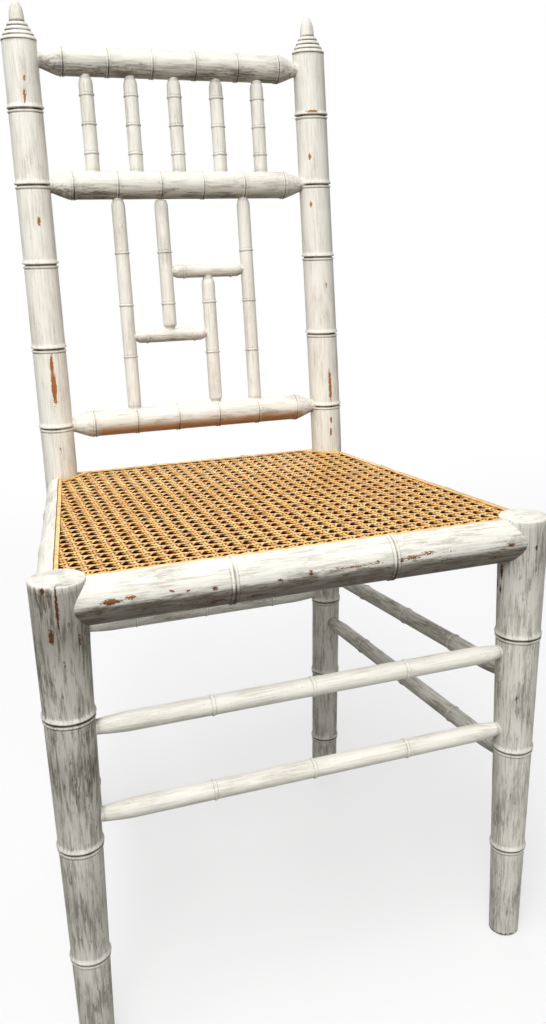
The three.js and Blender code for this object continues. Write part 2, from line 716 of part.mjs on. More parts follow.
/** The woven panel: one wall with ridges and gaps. */
function canePanel(clearances) {
  const sheet = prism(caneOutline(0), CANE_BOTTOM, CANE_TOP);
  const fieldWidth = 2 * caneOutline(-BINDER_WIDTH - CANE_GAP_MARGIN)[1].x;
  const columns = spread(Math.floor(fieldWidth / CANE_GAP_PITCH) + 1, CANE_GAP_PITCH);
  const ridged = caneRidges(columns).reduce((left, ridge) => left.add(ridge), sheet);
  const solid = cut(ridged, [...caneGaps(columns), ...clearances]);
  return { name: "cane_panel", placement: new THREE.Matrix4(), solid };
}

// Assembly

const uprights = Object.keys(SIDES).flatMap((sideName) => [backPost(sideName), frontLeg(sideName)]);
const clearances = uprights.map(({ name }) => carrierClearance(name, JOINT_GAP));
const back = [
  ...Object.keys(RAIL_HEIGHTS).map(backRail),
  ...spread(GALLERY_SPINDLES, BACK_NODE_PITCH).map(gallerySpindle),
  ...fret(),
];
const seat = seatRails();
const base = stretchers();
const cane = [canePanel(clearances), ...binder(clearances)];

const rearmost = postY(FINIAL_BASE + FINIAL_BEAD_HEIGHT / 3) + POST_RADIUS + FINIAL_BEAD_LIP;
const chair = new THREE.Group();
chair.position.y = (LEG_TOP_RADIUS - rearmost) / 2;

/** Adds a group of pieces to the chair, each less its sockets, in its own place. */
function assemble(pieces, finish) {
  const group = new THREE.Group();
  for (const { name, placement, solid } of pieces) {
    const whole = cut(solid, sockets.get(name) ?? []);
    const local = geometryOf(whole).applyMatrix4(placement.clone().invert());
    const mesh = new THREE.Mesh(local, new THREE.MeshStandardMaterial(finish));
    mesh.name = name;
    mesh.applyMatrix4(placement);
    group.add(mesh);
  }
  chair.add(group);
}

assemble(uprights, whitePaint);
assemble(back, whitePaint);
assemble(seat, whitePaint);
assemble(base, shadedPaint);
assemble(cane, caneSkin);

export default chair;
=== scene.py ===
"""The dressed chair: streaked, chipped white paint on bamboo turnings, and a woven cane seat.

Sizes are in millimetres unless a docstring says otherwise, and the finished meshes in metres.
"""

import logging
import math
from collections.abc import Mapping, Sequence
from dataclasses import dataclass, field
from enum import Enum
from typing import Any

import bpy
import numpy as np
from mathutils import Matrix, Vector


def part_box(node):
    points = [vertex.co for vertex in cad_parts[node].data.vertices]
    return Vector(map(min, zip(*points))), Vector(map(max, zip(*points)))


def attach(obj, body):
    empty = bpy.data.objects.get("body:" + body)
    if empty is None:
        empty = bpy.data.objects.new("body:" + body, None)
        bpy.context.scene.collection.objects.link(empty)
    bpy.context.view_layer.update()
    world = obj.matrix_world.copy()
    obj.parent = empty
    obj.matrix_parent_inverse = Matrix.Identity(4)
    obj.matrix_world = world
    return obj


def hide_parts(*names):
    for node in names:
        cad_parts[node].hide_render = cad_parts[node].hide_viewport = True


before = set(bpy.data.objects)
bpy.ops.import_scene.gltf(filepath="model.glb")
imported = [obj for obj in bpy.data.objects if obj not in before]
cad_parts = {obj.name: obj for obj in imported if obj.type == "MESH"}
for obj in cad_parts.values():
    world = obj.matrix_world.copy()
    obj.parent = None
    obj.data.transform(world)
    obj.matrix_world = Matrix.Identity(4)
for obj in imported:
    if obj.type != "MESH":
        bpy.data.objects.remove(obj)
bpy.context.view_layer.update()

logging.basicConfig(level=logging.INFO, format="%(message)s")
log = logging.getLogger("chair")

MM = 0.001
BODY = "root"
IMAGE_WIDTH = 546
IMAGE_HEIGHT = 1024
HALF = 0.5
DIAGONAL = math.sqrt(HALF)
FULL_TURN = 360
FOOT_CHIP_STEP = 45
FOOT_EDGE = 1.0
SCREEN_WHITE = 255
SCREEN_KNEE = 0.04045
SCREEN_SLOPE = 12.92
SCREEN_OFFSET = 0.055
SCREEN_POWER = 2.4
UP = np.array([0.0, 0.0, 1.0])
RIGHT = np.array([1.0, 0.0, 0.0])
BACK = np.array([0.0, 1.0, 0.0])

Array = np.ndarray
Line = tuple[Array, Array]
Mesh = bpy.types.Mesh
Material = bpy.types.Material
Socket = bpy.types.NodeSocket
Pair = tuple[float, float]
Triple = tuple[float, float, float]
Colour = tuple[float, float, float, float]
WHITE: Colour = (1.0, 1.0, 1.0, 1.0)


def made_linear(share: float) -> float:
    """One share of a screen colour, made linear.

    Args:
        share: The share as a screen has it, 0 to 1.

    Returns:
        The linear share.
    """
    if share <= SCREEN_KNEE:
        return share / SCREEN_SLOPE
    return ((share + SCREEN_OFFSET) / (1 + SCREEN_OFFSET)) ** SCREEN_POWER


def srgb(red: int, green: int, blue: int) -> Colour:
    """A colour as a screen shows it, made linear."""
    return (*(made_linear(share / SCREEN_WHITE) for share in (red, green, blue)), 1.0)


class Side(Enum):
    """The chair's sides, as seen from the front."""

    LEFT = -1
    RIGHT = 1


class Axis(Enum):
    """A place's three shares."""

    X = "X"
    Y = "Y"
    Z = "Z"


# Nodes


class Value:
    """A number socket with arithmetic: each operation adds a Math node to the socket's tree."""

    def __init__(self, tree: "Tree", socket: Socket) -> None:
        """Wraps a socket."""
        self.tree = tree
        self.socket = socket

    def _math(self, operation: str, *terms: "Value | float") -> "Value":
        """Adds one Math node over some terms."""
        node = self.tree.node("ShaderNodeMath", {"operation": operation}, dict(enumerate(terms)))
        return Value(self.tree, node.outputs[0])

    def __add__(self, other: "Value | float") -> "Value":
        """This plus another."""
        return self._math("ADD", self, other)

    __radd__ = __add__

    def __sub__(self, other: "Value | float") -> "Value":
        """This less another."""
        return self._math("SUBTRACT", self, other)

    def __rsub__(self, other: float) -> "Value":
        """A number less this."""
        return self._math("SUBTRACT", other, self)

    def __mul__(self, other: "Value | float") -> "Value":
        """This times another."""
        return self._math("MULTIPLY", self, other)

    __rmul__ = __mul__

    def __truediv__(self, other: "Value | float") -> "Value":
        """This over another."""
        return self._math("DIVIDE", self, other)

    def __abs__(self) -> "Value":
        """This without its sign."""
        return self._math("ABSOLUTE", self)

    def rounded(self) -> "Value":
        """The whole number nearest to this."""
        return self._math("ROUND", self)

    def exponential(self) -> "Value":
        """The exponential of this."""
        return self._math("EXPONENT", self)

    def cosine(self) -> "Value":
        """The cosine of this, in radians."""
        return self._math("COSINE", self)

    def highest(self, other: "Value | float") -> "Value":
        """The higher of this and another."""
        return self._math("MAXIMUM", self, other)

    def step(self, low: float, high: float) -> "Value":
        """A soft step of this.

        Args:
            low: Where the step leaves 0.
            high: Where the step reaches 1.

        Returns:
            A value from 0 to 1.
        """
        settings = {"interpolation_type": "SMOOTHSTEP"}
        inputs = {"Value": self, "From Min": low, "From Max": high}
        node = self.tree.node("ShaderNodeMapRange", settings, inputs)
        return Value(self.tree, node.outputs["Result"])


class Tree:
    """Adds nodes to one node tree."""

    MIX_FACTOR = 0
    MIX_FIRST = 6
    MIX_SECOND = 7
    MIX_RESULT = 2
    NOISE_ROUGHNESS = 0.6

    def __init__(self, nodes: bpy.types.NodeTree) -> None:
        """Takes over a node tree."""
        self.nodes = nodes

    def node(
        self,
        kind: str,
        settings: Mapping[str, Any] | None = None,
        inputs: Mapping[str | int, Any] | None = None,
    ) -> bpy.types.Node:
        """Adds a node.

        Args:
            kind: The node's type.
            settings: Its own settings, set first.
            inputs: A value or a link for each named or numbered socket.

        Returns:
            The new node.
        """
        made = self.nodes.nodes.new(kind)
        for name, setting in (settings or {}).items():
            setattr(made, name, setting)
        for key, given in (inputs or {}).items():
            source = given.socket if isinstance(given, Value) else given
            if isinstance(source, Socket):
                self.nodes.links.new(source, made.inputs[key])
            else:
                made.inputs[key].default_value = source
        return made

    def first(
        self,
        kind: str,
        settings: Mapping[str, Any] | None = None,
        inputs: Mapping[str | int, Any] | None = None,
    ) -> Socket:
        """The first output of a new node, which is made as node() makes it."""
        return self.node(kind, settings, inputs).outputs[0]

    def bump(self, height: Value, strength: float, distance: float) -> Socket:
        """A surface normal bent by a height."""
        inputs = {"Strength": strength, "Distance": distance, "Height": height}
        return self.first("ShaderNodeBump", None, inputs)

    def mix(self, factor: Value | float, first: Any, second: Any) -> Socket:
        """A mix of two colours.

        Args:
            factor: The second colour's share.
            first: A colour or a colour socket.
            second: A colour or a colour socket.

        Returns:
            The mixed colour's socket.
        """
        inputs = {self.MIX_FACTOR: factor, self.MIX_FIRST: first, self.MIX_SECOND: second}
        mixed = self.node("ShaderNodeMix", {"data_type": "RGBA", "clamp_factor": True}, inputs)
        return mixed.outputs[self.MIX_RESULT]

    def split(self, vector: Socket) -> dict[Axis, Value]:
        """The three shares of a vector."""
        parts = self.node("ShaderNodeSeparateXYZ", None, {"Vector": vector})
        return {axis: Value(self, parts.outputs[axis.value]) for axis in Axis}

    def stretched_noise(self, place: Socket, size: Sequence[float], detail: float) -> Value:
        """Noise with grains of a given size.

        Args:
            place: The vector that the noise is read at, in metres.
            size: A grain's size along each axis, in millimetres.
            detail: How many finer layers are added.

        Returns:
            The noise, from 0 to 1 about a half.
        """
        scale = tuple(1 / (length * MM) for length in size)
        stretched = self.first("ShaderNodeVectorMath", {"operation": "MULTIPLY"}, {0: place, 1: scale})
        inputs = {
            "Vector": stretched,
            "Scale": 1.0,
            "Detail": detail,
            "Roughness": self.NOISE_ROUGHNESS,
        }
        return Value(self, self.first("ShaderNodeTexNoise", None, inputs))


def blank_material(name: str) -> tuple[Material, Tree]:
    """A new node material with nothing in it.

    Args:
        name: The material's name.

    Returns:
        The material and its emptied tree.
    """
    material = bpy.data.materials.new(name)
    material.use_nodes = True
    material.node_tree.nodes.clear()
    return material, Tree(material.node_tree)


# Finishes


@dataclass(frozen=True)
class Layer:
    """One layer of brushing or dirt over the paint.

    Attributes:
        size: A grain's size along each axis, in millimetres.
        detail: How many finer layers its noise has.
        patch_gain: How far it gathers in patches.
        soil_and_shade_gain: How far it spreads with the soiling mark, which holds dirt and painted
            shade.
        edges: The noise at which it starts, and at which it is full.
        clean_share: Its strength on clean paint.
        soil_and_shade_share: What the full soiling mark, dirt and painted shade, adds to its strength.
    """

    size: Triple
    detail: float
    patch_gain: float
    soil_and_shade_gain: float
    edges: Pair
    clean_share: float
    soil_and_shade_share: float

    def noise(self, tree: Tree, grain: Socket) -> Value:
        """The layer's own noise."""
        return tree.stretched_noise(grain, self.size, self.detail)

    def shown(self, noise: Value, patch: Value, soil_and_shade: Value) -> Value:
        """How far the layer shows, from 0 to 1."""
        return (noise + patch * self.patch_gain + soil_and_shade * self.soil_and_shade_gain).step(*self.edges)

    def strength(self, soil_and_shade: Value) -> Value:
        """How strongly the layer colours what lies under it."""
        return soil_and_shade * self.soil_and_shade_share + self.clean_share


@dataclass(frozen=True)
class PaintFinish:
    """Old white paint on brown wood: dry brushed streaks, grime, chips, and dirt in the rings, with
    painted shade carried by the soiling and dirt marks.
    """

    cream: Colour = srgb(246, 243, 233)
    streak: Colour = srgb(214, 207, 190)
    grey: Colour = srgb(176, 176, 168)
    smudge: Colour = srgb(116, 111, 100)
    speck: Colour = srgb(84, 72, 58)
    tan: Colour = srgb(206, 158, 98)
    pale_dirt: Colour = srgb(112, 102, 88)
    dark_dirt: Colour = srgb(44, 30, 20)
    bare_wood: Colour = srgb(172, 112, 58)
    old_wood: Colour = srgb(88, 55, 36)
    rubbed_wood: Colour = srgb(172, 118, 66)
    streaks: Layer = Layer((1.3, 1.3, 34.0), 3.0, 0.35, 0.02, (0.42, 0.76), 0.7, 0.05)
    smudges: Layer = Layer((2.5, 2.5, 24.0), 3.0, 0.4, 0.06, (0.45, 0.7), 0.1, 0.95)
    specks: Layer = Layer((1.6, 1.6, 8.0), 2.0, 0.6, 0.05, (0.61, 0.74), 0.1, 0.8)
    tans: Layer = Layer((1.0, 1.0, 2.6), 1.0, 0.05, 0.01, (0.71, 0.77), 0.5, 0.1)
    patch_size: Triple = (15.0, 15.0, 42.0)
    patch_detail: float = 1.0
    chip_size: Triple = (0.9, 0.9, 2.0)
    chip_detail: float = 2.0
    chip_ragged: float = 1.05
    chip_edges: Pair = (0.44, 0.52)
    wood_size: Triple = (0.9, 0.9, 16.0)
    wood_detail: float = 2.0
    wood_contrast: float = 0.7
    wood_soil_and_shade: float = 2.0
    wood_start: float = -0.3
    stain_ragged: float = 0.5
    stain_edges: Pair = (0.05, 0.8)
    stain_share: float = 0.85
    grey_share: float = 0.58
    grime_and_shade_from: float = 0.45
    grime_and_shade_share: float = 0.95
    soot_and_deep_shade_from: float = 0.72
    soot_and_deep_shade_share: float = 1.9
    ring_patchy: float = 1.5
    ring_share: float = 0.85
    ring_soil_and_shade: float = 1.3
    ring_dark: float = 0.1
    brush_height: float = 0.25
    smudge_height: float = 0.2
    chip_height: float = 0.9
    bump_distance: float = 0.0006
    bump_strength: float = 0.4
    roughness: float = 0.55
    streak_roughness: float = 0.12
    chip_roughness: float = 0.15
    specular: float = 0.22

    def material(self) -> Material:
        """Makes the paint's material.

        Returns:
            A material that reads the mesh's grain and marks.
        """
        material, tree = blank_material("peeling_white_paint")
        grain = tree.node("ShaderNodeAttribute", {"attribute_name": "grain"}).outputs["Vector"]
        marks = tree.node("ShaderNodeAttribute", {"attribute_name": "marks"}).outputs
        shares = tree.split(marks["Vector"])
        # X is ring dirt with painted shade at joints and under lying pieces; Z is soiling with painted
        # shade under lying pieces and on the front legs.
        crevice_dirt_and_shade = shares[Axis.X]
        wear = shares[Axis.Y]
        soil_and_shade = shares[Axis.Z]
        rubbed = Value(tree, marks["Alpha"])
        patch = tree.stretched_noise(grain, self.patch_size, self.patch_detail) - HALF
        layers = (self.streaks, self.smudges, self.specks, self.tans)
        noises = [layer.noise(tree, grain) for layer in layers]
        brushed, smudged = noises[:2]
        ragged = tree.stretched_noise(grain, self.chip_size, self.chip_detail) - HALF
        fibre = tree.stretched_noise(grain, self.wood_size, self.wood_detail)
        streaks, smudges, specks, flecks = (
            layer.shown(noise, patch, soil_and_shade) for layer, noise in zip(layers, noises)
        )
        chips = (wear + ragged * self.chip_ragged).step(*self.chip_edges)
        stain = (rubbed + (smudged - HALF) * self.stain_ragged).step(*self.stain_edges)
        colour = tree.mix(streaks * self.streaks.strength(soil_and_shade), self.cream, self.streak)
        # Greying, grime and soot follow the soiling mark, so they also paint shade; the soot is mostly
        # painted deep shade under the front rail.
        colour = tree.mix(soil_and_shade * self.grey_share, colour, self.grey)
        colour = tree.mix((soil_and_shade - self.grime_and_shade_from) * self.grime_and_shade_share, colour, self.smudge)
        colour = tree.mix(smudges * self.smudges.strength(soil_and_shade), colour, self.smudge)
        colour = tree.mix((soil_and_shade - self.soot_and_deep_shade_from) * self.soot_and_deep_shade_share, colour, self.speck)
        colour = tree.mix(specks * self.specks.strength(soil_and_shade), colour, self.speck)
        colour = tree.mix(flecks * self.tans.strength(soil_and_shade), colour, self.tan)
        colour = tree.mix(stain * rubbed * self.stain_share, colour, self.rubbed_wood)
        age = soil_and_shade * self.wood_soil_and_shade + fibre * self.wood_contrast + self.wood_start
        colour = tree.mix(chips, colour, tree.mix(age, self.bare_wood, self.old_wood))
        # Ring dirt, darkened by painted shade at joints and under lying pieces.
        grime = tree.mix(soil_and_shade * self.ring_soil_and_shade + self.ring_dark, self.pale_dirt, self.dark_dirt)
        colour = tree.mix(crevice_dirt_and_shade * (patch * self.ring_patchy + self.ring_share), colour, grime)
        height = brushed * self.brush_height + smudged * self.smudge_height
        dented = height - chips * self.chip_height
        normal = tree.bump(dented, self.bump_strength, self.bump_distance)
        rough = streaks * self.streak_roughness + chips * self.chip_roughness + self.roughness
        surface = {
            "Base Color": colour,
            "Roughness": rough,
            "Specular IOR Level": self.specular,
            "Normal": normal,
        }
        shader = tree.first("ShaderNodeBsdfPrincipled", None, surface)
        tree.node("ShaderNodeOutputMaterial", None, {"Surface": shader})
        return material


@dataclass(frozen=True)
class CaneFinish:
    """Glossy split cane, golden on its skin. Its strands' sides are dark, partly the cane's own cut
    edge and partly painted shade, and the low strands down in the holes are painted with shade.
    """

    name: str = "golden_cane"
    gold: Colour = srgb(226, 166, 90)
    pale: Colour = srgb(250, 208, 132)
    brown: Colour = srgb(172, 108, 48)
    # Painted shade: the colour given to strand sides and to the low strands down in the holes.
    edge: Colour = srgb(34, 15, 7)
    mottle_size: Triple = (9.0, 9.0, 9.0)
    fibre_size: Triple = (0.8, 0.8, 0.8)
    edges: Pair = (0.1, 0.6)
    # Painted shade by height: strands below the first height take the dark colour, and strands above
    # the second keep their skin.
    shaded_below: float = 429.9
    unshaded_above: float = 430.8
    under_share: float = 0.6
    noise_detail: float = 2.0
    fibre_share: float = 0.3
    mottle_edges: Pair = (0.58, 0.86)
    mottle_share: float = 0.7
    roughness: float = 0.34
    mottle_roughness: float = 0.2
    bump_distance: float = 0.0002
    bump_strength: float = 0.3

    def material(self) -> Material:
        """Makes the cane's material.

        Returns:
            A material that reads each strand's tint.
        """
        material, tree = blank_material(self.name)
        place = tree.node("ShaderNodeTexCoord").outputs["Object"]
        strands = tree.node("ShaderNodeAttribute", {"attribute_name": "tint"}).outputs
        tint = Value(tree, strands["Fac"])
        facing = tree.split(tree.node("ShaderNodeNewGeometry").outputs["Normal"])[Axis.Z]
        mottle = tree.stretched_noise(place, self.mottle_size, self.noise_detail)
        fibre = tree.stretched_noise(place, self.fibre_size, self.noise_detail)
        strand = tree.mix(tint, self.gold, self.pale)
        browned = (mottle + fibre * self.fibre_share).step(*self.mottle_edges) * self.mottle_share
        mottled = tree.mix(browned, strand, self.brown)
        # Painted shade: low strands and strand sides that face across get the dark matte colour, while
        # faces turned down keep some skin.
        height = tree.split(place)[Axis.Z].step(self.shaded_below * MM, self.unshaded_above * MM)
        below = (facing * -1.0).step(*self.edges) * self.under_share
        clean = (height * abs(facing).step(*self.edges)).highest(below)
        normal = tree.bump(fibre, self.bump_strength, self.bump_distance)
        rough = mottle * self.mottle_roughness + self.roughness
        surface = {"Base Color": mottled, "Roughness": rough, "Normal": normal}
        skin = tree.first("ShaderNodeBsdfPrincipled", None, surface)
        painted_shade = tree.first("ShaderNodeBsdfDiffuse", None, {"Color": self.edge})
        shader = tree.first("ShaderNodeMixShader", None, {0: clean, 1: painted_shade, 2: skin})
        tree.node("ShaderNodeOutputMaterial", None, {"Surface": shader})
        return material


# Sizes


@dataclass(frozen=True)
class ChairPlan:
    """The chair's driving sizes in millimetres, as the solids have them."""

    leg_spacing: float = 408.0
    post_spacing: float = 315.0
    seat_depth: float = 341.0
    seat_height: float = 432.0
    back_lean: float = math.tan(math.radians(5.9))
    leg_rake: float = math.tan(math.radians(2.6))
    bend_length: float = 25.0
    lower_rail: float = 485.0
    middle_rail: float = 734.5
    top_rail: float = 857.0
    post_radius: float = 17.5
    post_foot_radius: float = 16.0
    leg_radius: float = 22.0
    leg_foot_radius: float = 14.3
    leg_height: float = 433.0
    joint_gap: float = 0.3
    leg_line: float = sum(corner.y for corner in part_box("front_leg_left")) / 2 / MM

    def post_y(self, height: Any) -> Any:
        """Where a post's axis lies in Y.

        Args:
            height: One height or an array of them.

        Returns:
            The axis's Y at each height.
        """
        over = height - self.seat_height
        bend = np.hypot(over, self.bend_length) - self.bend_length
        straight = (self.back_lean - self.leg_rake) / 2 * over
        bent = (self.back_lean + self.leg_rake) / 2 * bend
        return self.leg_line + self.seat_depth + straight + bent

    def back_point(self, x: float, height: float) -> Array:
        """A point in the back's curved plane."""
        return np.array([x, self.post_y(height), height])

    def post_point(self, side: Side, height: float) -> Array:
        """A point on a post's axis."""
        return self.back_point(side.value * self.post_spacing / 2, height)

    def leg_point(self, side: Side, height: float) -> Array:
        """A point on a front leg's axis."""
        return np.array([side.value * self.leg_spacing / 2, self.leg_line, height])

    def post_radius_at(self, height: float) -> float:
        """A post's plain radius at a height."""
        share = min(1.0, height / self.seat_height)
        return self.post_foot_radius + (self.post_radius - self.post_foot_radius) * share

    def leg_radius_at(self, height: float) -> float:
        """A front leg's plain radius at a height."""
        gain = (self.leg_radius - self.leg_foot_radius) * height / self.leg_height
        return self.leg_foot_radius + gain


PLAN = ChairPlan()


def spread(count: int, pitch: float, middle: float = 0.0) -> list[float]:
    """Places at a pitch about a middle."""
    return [middle + (i - (count - 1) / 2) * pitch for i in range(count)]


def spread_between(count: int, start: float, end: float, inset: float) -> list[float]:
    """Evenly spaced places between two ends, kept some way in from both."""
    return spread(count, (end - start - 2 * inset) / (count - 1), (start + end) / 2)


def span(ends: Sequence[Array]) -> float:
    """The distance between two points."""
    return float(np.linalg.norm(ends[1] - ends[0]))


# Turnings


class Ring(Enum):
    """A bamboo ring, as points of place along, rise over the shaft, and dirt."""

    POST = (
        (-5.5, 0.0, 0.0), (-4.7, 0.05, 0.0), (-4.2, -0.35, 0.5), (-3.7, -0.35, 0.5),
        (-3.2, 0.5, 0.0), (-2.4, 0.95, 0.0), (-1.6, 0.8, 0.0), (-1.1, -0.3, 0.7),
        (-0.7, -1.3, 1.0), (0.3, -1.3, 1.0), (0.6, -0.2, 0.9), (0.9, 1.0, 0.15),
        (1.5, 1.4, 0.0), (2.4, 1.2, 0.0), (4.0, 0.4, 0.0), (5.5, 0.0, 0.0),
    )
    SEAT = (
        (-5.0, 0.0, 0.0), (-4.2, 0.05, 0.0), (-3.7, -0.35, 0.6), (-3.2, -0.35, 0.6),
        (-2.7, 0.5, 0.0), (-1.9, 0.9, 0.0), (-1.0, 0.7, 0.3), (-0.5, -0.7, 1.0),
        (0.2, -0.7, 1.0), (0.7, 0.6, 0.3), (1.5, 1.0, 0.0), (2.3, 0.7, 0.0),
        (2.7, -0.3, 0.6), (3.2, -0.3, 0.6), (3.7, 0.05, 0.0), (5.0, 0.0, 0.0),
    )
    RAIL = (
        (-4.0, 0.0, 0.0), (-3.2, 0.05, 0.0), (-2.8, -0.2, 0.3), (-2.4, -0.2, 0.3),
        (-2.0, 0.4, 0.0), (-1.2, 0.8, 0.0), (-0.6, 0.6, 0.0), (-0.2, -0.6, 0.95),
        (0.5, -0.6, 0.95), (0.9, 0.5, 0.0), (1.5, 0.85, 0.0), (2.5, 0.4, 0.0),
        (4.0, 0.0, 0.0),
    )
    SPINDLE = (
        (-3.0, 0.0, 0.0), (-2.4, 0.0, 0.0), (-2.0, -0.25, 0.3), (-1.6, -0.25, 0.3),
        (-1.2, 0.45, 0.0), (-0.2, 0.9, 0.0), (0.7, 0.7, 0.0), (1.1, -0.2, 0.3),
        (1.5, -0.2, 0.3), (2.0, 0.1, 0.0), (3.0, 0.0, 0.0),
    )


@dataclass
class Outline:
    """A turning's stations, with the distance along, radius, dark band and ring's rise of each. The
    dark band is dirt in rings and grooves, and painted shade at joints.
    """

    PLACE_DIGITS = 3

    along: Array
    radius: Array
    # Dirt in the rings and grooves, with painted shade at joints.
    dirt: Array
    rise: Array

    @classmethod
    def ringed(
        cls,
        shaft: Sequence[Pair],
        ring: Ring,
        rings: Sequence[float],
        step: float,
    ) -> "Outline":
        """An outline with rings on a shaft.

        Args:
            shaft: The plain shaft's corners, as distance and radius.
            ring: The kind of ring.
            rings: The distance of each ring's middle.
            step: The longest distance between two stations.

        Returns:
            The outline, with stations at every corner.
        """
        corners = np.array(shaft)
        form = np.array(ring.value)
        start, end = corners[0, 0], corners[-1, 0]
        even = np.linspace(start, end, int((end - start) / step) + 2)
        near = [at + form[:, 0] for at in rings]
        clear = even[[all(abs(at - e) > form[-1, 0] for at in rings) for e in even]]
        places = np.concatenate([clear, corners[:, 0], *near])
        along = np.unique(np.round(places, cls.PLACE_DIGITS))
        along = along[(along >= start) & (along <= end)]
        plain = np.interp(along, corners[:, 0], corners[:, 1])
        dirt = np.zeros_like(along)
        rise = np.zeros_like(along)
        for at in rings:
            rise += np.interp(along - at, form[:, 0], form[:, 1], 0.0, 0.0)
            dirt += np.interp(along - at, form[:, 0], form[:, 2], 0.0, 0.0)
        return cls(along, plain + rise, dirt, rise)

    def add_dark_band(self, place: float, amount: float, reach: float) -> None:
        """Adds a soft dark band at a place along: dirt between the finial's beads, painted shade at a
        joint.
        """
        self.dirt += amount * np.exp(-(((self.along - place) / reach) ** 2))


@dataclass(frozen=True)
class Chip:
    """A place where paint has come off: how far along and, in degrees, around, its size and depth."""

    along: float
    around: float
    length: float
    width: float
    depth: float = 1.0


def foot_chips(length: float, width: float, depth: float) -> tuple[Chip, ...]:
    """The wear all round the edge of a foot."""
    turns = range(0, FULL_TURN, FOOT_CHIP_STEP)
    return tuple(Chip(FOOT_EDGE, around, length, width, depth) for around in turns)


@dataclass(frozen=True)
class Rubbing:
    """A band where the paint is rubbed thin: its angles in degrees, and its run along the piece."""

    middle: float
    half: float
    start: float
    end: float
    fade: float = 12.0


@dataclass
class Marks:
    """What time has left on one piece of wood, with painted shade under a lying piece.

    Attributes:
        chips: Where the paint has come off.
        soil_and_shade: How dirty the piece is, at some distances along it; the front legs' tables also
            hold painted shade.
        rubbing: Where the paint is rubbed thin, if anywhere.
        painted_shade_below: How much painted shade is added to a lying piece's underside, through its
            soiling mark.
        painted_shade_from: How far round that painted shade starts, as the cosine of the angle from
            the top.
    """

    CHIP_FALL = 0.7
    WIPED = 0.7
    # How far the painted underside shade stops proud rings from being wiped clean.
    UNDER_SHADE_HOLD = 2.5
    RING_SHARE = 0.72
    # How much darker ring dirt is painted on a lying piece's underside, as painted shade.
    RING_UNDER_SHADE = 0.28
    BAND_SLOPE = 2.0

    chips: Sequence[Chip] = ()
    soil_and_shade: Sequence[Pair] = ((0.0, 0.05),)
    rubbing: Rubbing | None = None
    painted_shade_below: float = 0.0
    painted_shade_from: float = 0.35

    def _turned(self, around: Array, middle: float) -> Array:
        """How far some angles in radians lie from a middle in degrees."""
        return np.angle(np.exp(1j * (around - math.radians(middle))))

    def _wear(self, along: Array, around: Array, radius: Array) -> Array:
        """How far the paint is chipped off at each point.

        Args:
            along: Each point's distance along.
            around: Each point's angle in radians.
            radius: Each point's radius.

        Returns:
            The wear from 0 to about 1.
        """
        worn = np.zeros_like(along)
        for chip in self.chips:
            ahead = (along - chip.along) / (chip.length / 2)
            aside = self._turned(around, chip.around) * radius / (chip.width / 2)
            worn = np.maximum(worn, chip.depth * np.exp(-self.CHIP_FALL * (ahead**2 + aside**2)))
        return worn

    def on_points(self, outline: Outline, around: Array, radius: Array) -> Array:
        """The marks at each point of a piece.

        Args:
            outline: The piece's stations, each of which has as many points as the others.
            around: Each point's angle in radians, station by station.
            radius: Each point's radius.

        Returns:
            Dirt with painted shade, wear, soiling with painted shade, and rubbing for each point.
        """
        count = len(around) // len(outline.along)
        along = np.repeat(outline.along, count)
        dirt = np.repeat(outline.dirt, count)
        places = np.array(self.soil_and_shade)
        soil_and_shade = np.interp(along, places[:, 0], places[:, 1])
        # Painted shade: a lying piece gets darker underneath, both in its soiling mark and in its ring
        # dirt.
        below = np.clip(self.painted_shade_from - np.cos(around), 0.0, 1.0)
        soil_and_shade = np.clip(soil_and_shade + self.painted_shade_below * below, 0.0, 1.0)
        open_share, held_dirt_and_shade = np.ones_like(along), dirt
        if self.painted_shade_below:
            open_share = np.clip(1 - self.UNDER_SHADE_HOLD * below, 0.0, 1.0)
            held_dirt_and_shade = dirt * (self.RING_SHARE - self.RING_UNDER_SHADE * np.cos(around))
        proud = np.repeat(np.clip(outline.rise, 0.0, 1.0), count)
        soil_and_shade *= 1 - self.WIPED * open_share * proud
        thin = self._thinned(along, around)
        return np.stack([held_dirt_and_shade, self._wear(along, around, radius), soil_and_shade, thin], 1)

    def _thinned(self, along: Array, around: Array) -> Array:
        """How far the paint is rubbed thin at each point.

        Args:
            along: Each point's distance along.
            around: Each point's angle in radians.

        Returns:
            The rubbing from 0 to 1.
        """
        band = self.rubbing
        if band is None:
            return np.zeros_like(along)
        turn = abs(self._turned(around, band.middle)) / math.radians(band.half)
        run = np.minimum(along - band.start, band.end - along) / band.fade
        return np.clip(self.BAND_SLOPE * (1 - turn), 0.0, 1.0) * np.clip(run, 0.0, 1.0)


def write_marks(mesh: Mesh, grain: Array, marks: Array) -> None:
    """Writes a piece's grain place and its marks on its points.

    Args:
        mesh: The mesh to write on.
        grain: Each point's place in the wood, in metres.
        marks: Each point's dirt with painted shade, wear, soiling with painted shade, and rubbing.
    """
    place = mesh.attributes.new("grain", "FLOAT_VECTOR", "POINT")
    place.data.foreach_set("vector", grain.astype(np.float32).ravel())
    mark = mesh.attributes.new("marks", "FLOAT_COLOR", "POINT")
    mark.data.foreach_set("color", marks.astype(np.float32).ravel())


def placed(
    name: str,
    mesh: Mesh,
    material: Material,
    nodes: Sequence[str],
) -> None:
    """Puts a finished mesh in the scene as a piece of the chair.

    Args:
        name: The piece's name.
        mesh: Its mesh, in place.
        material: Its finish.
        nodes: The solids that it stands for.
    """
    piece = bpy.data.objects.new(name, mesh)
    bpy.context.scene.collection.objects.link(piece)
    mesh.materials.clear()
    mesh.materials.append(material)
    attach(piece, BODY)
    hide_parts(*nodes)
    log.info("%s: %d faces", name, len(mesh.polygons))


def side_pairs(count: int) -> list[tuple[int, int]]:
    """Each point of a closed section with the next one."""
    return [(j, (j + 1) % count) for j in range(count)]


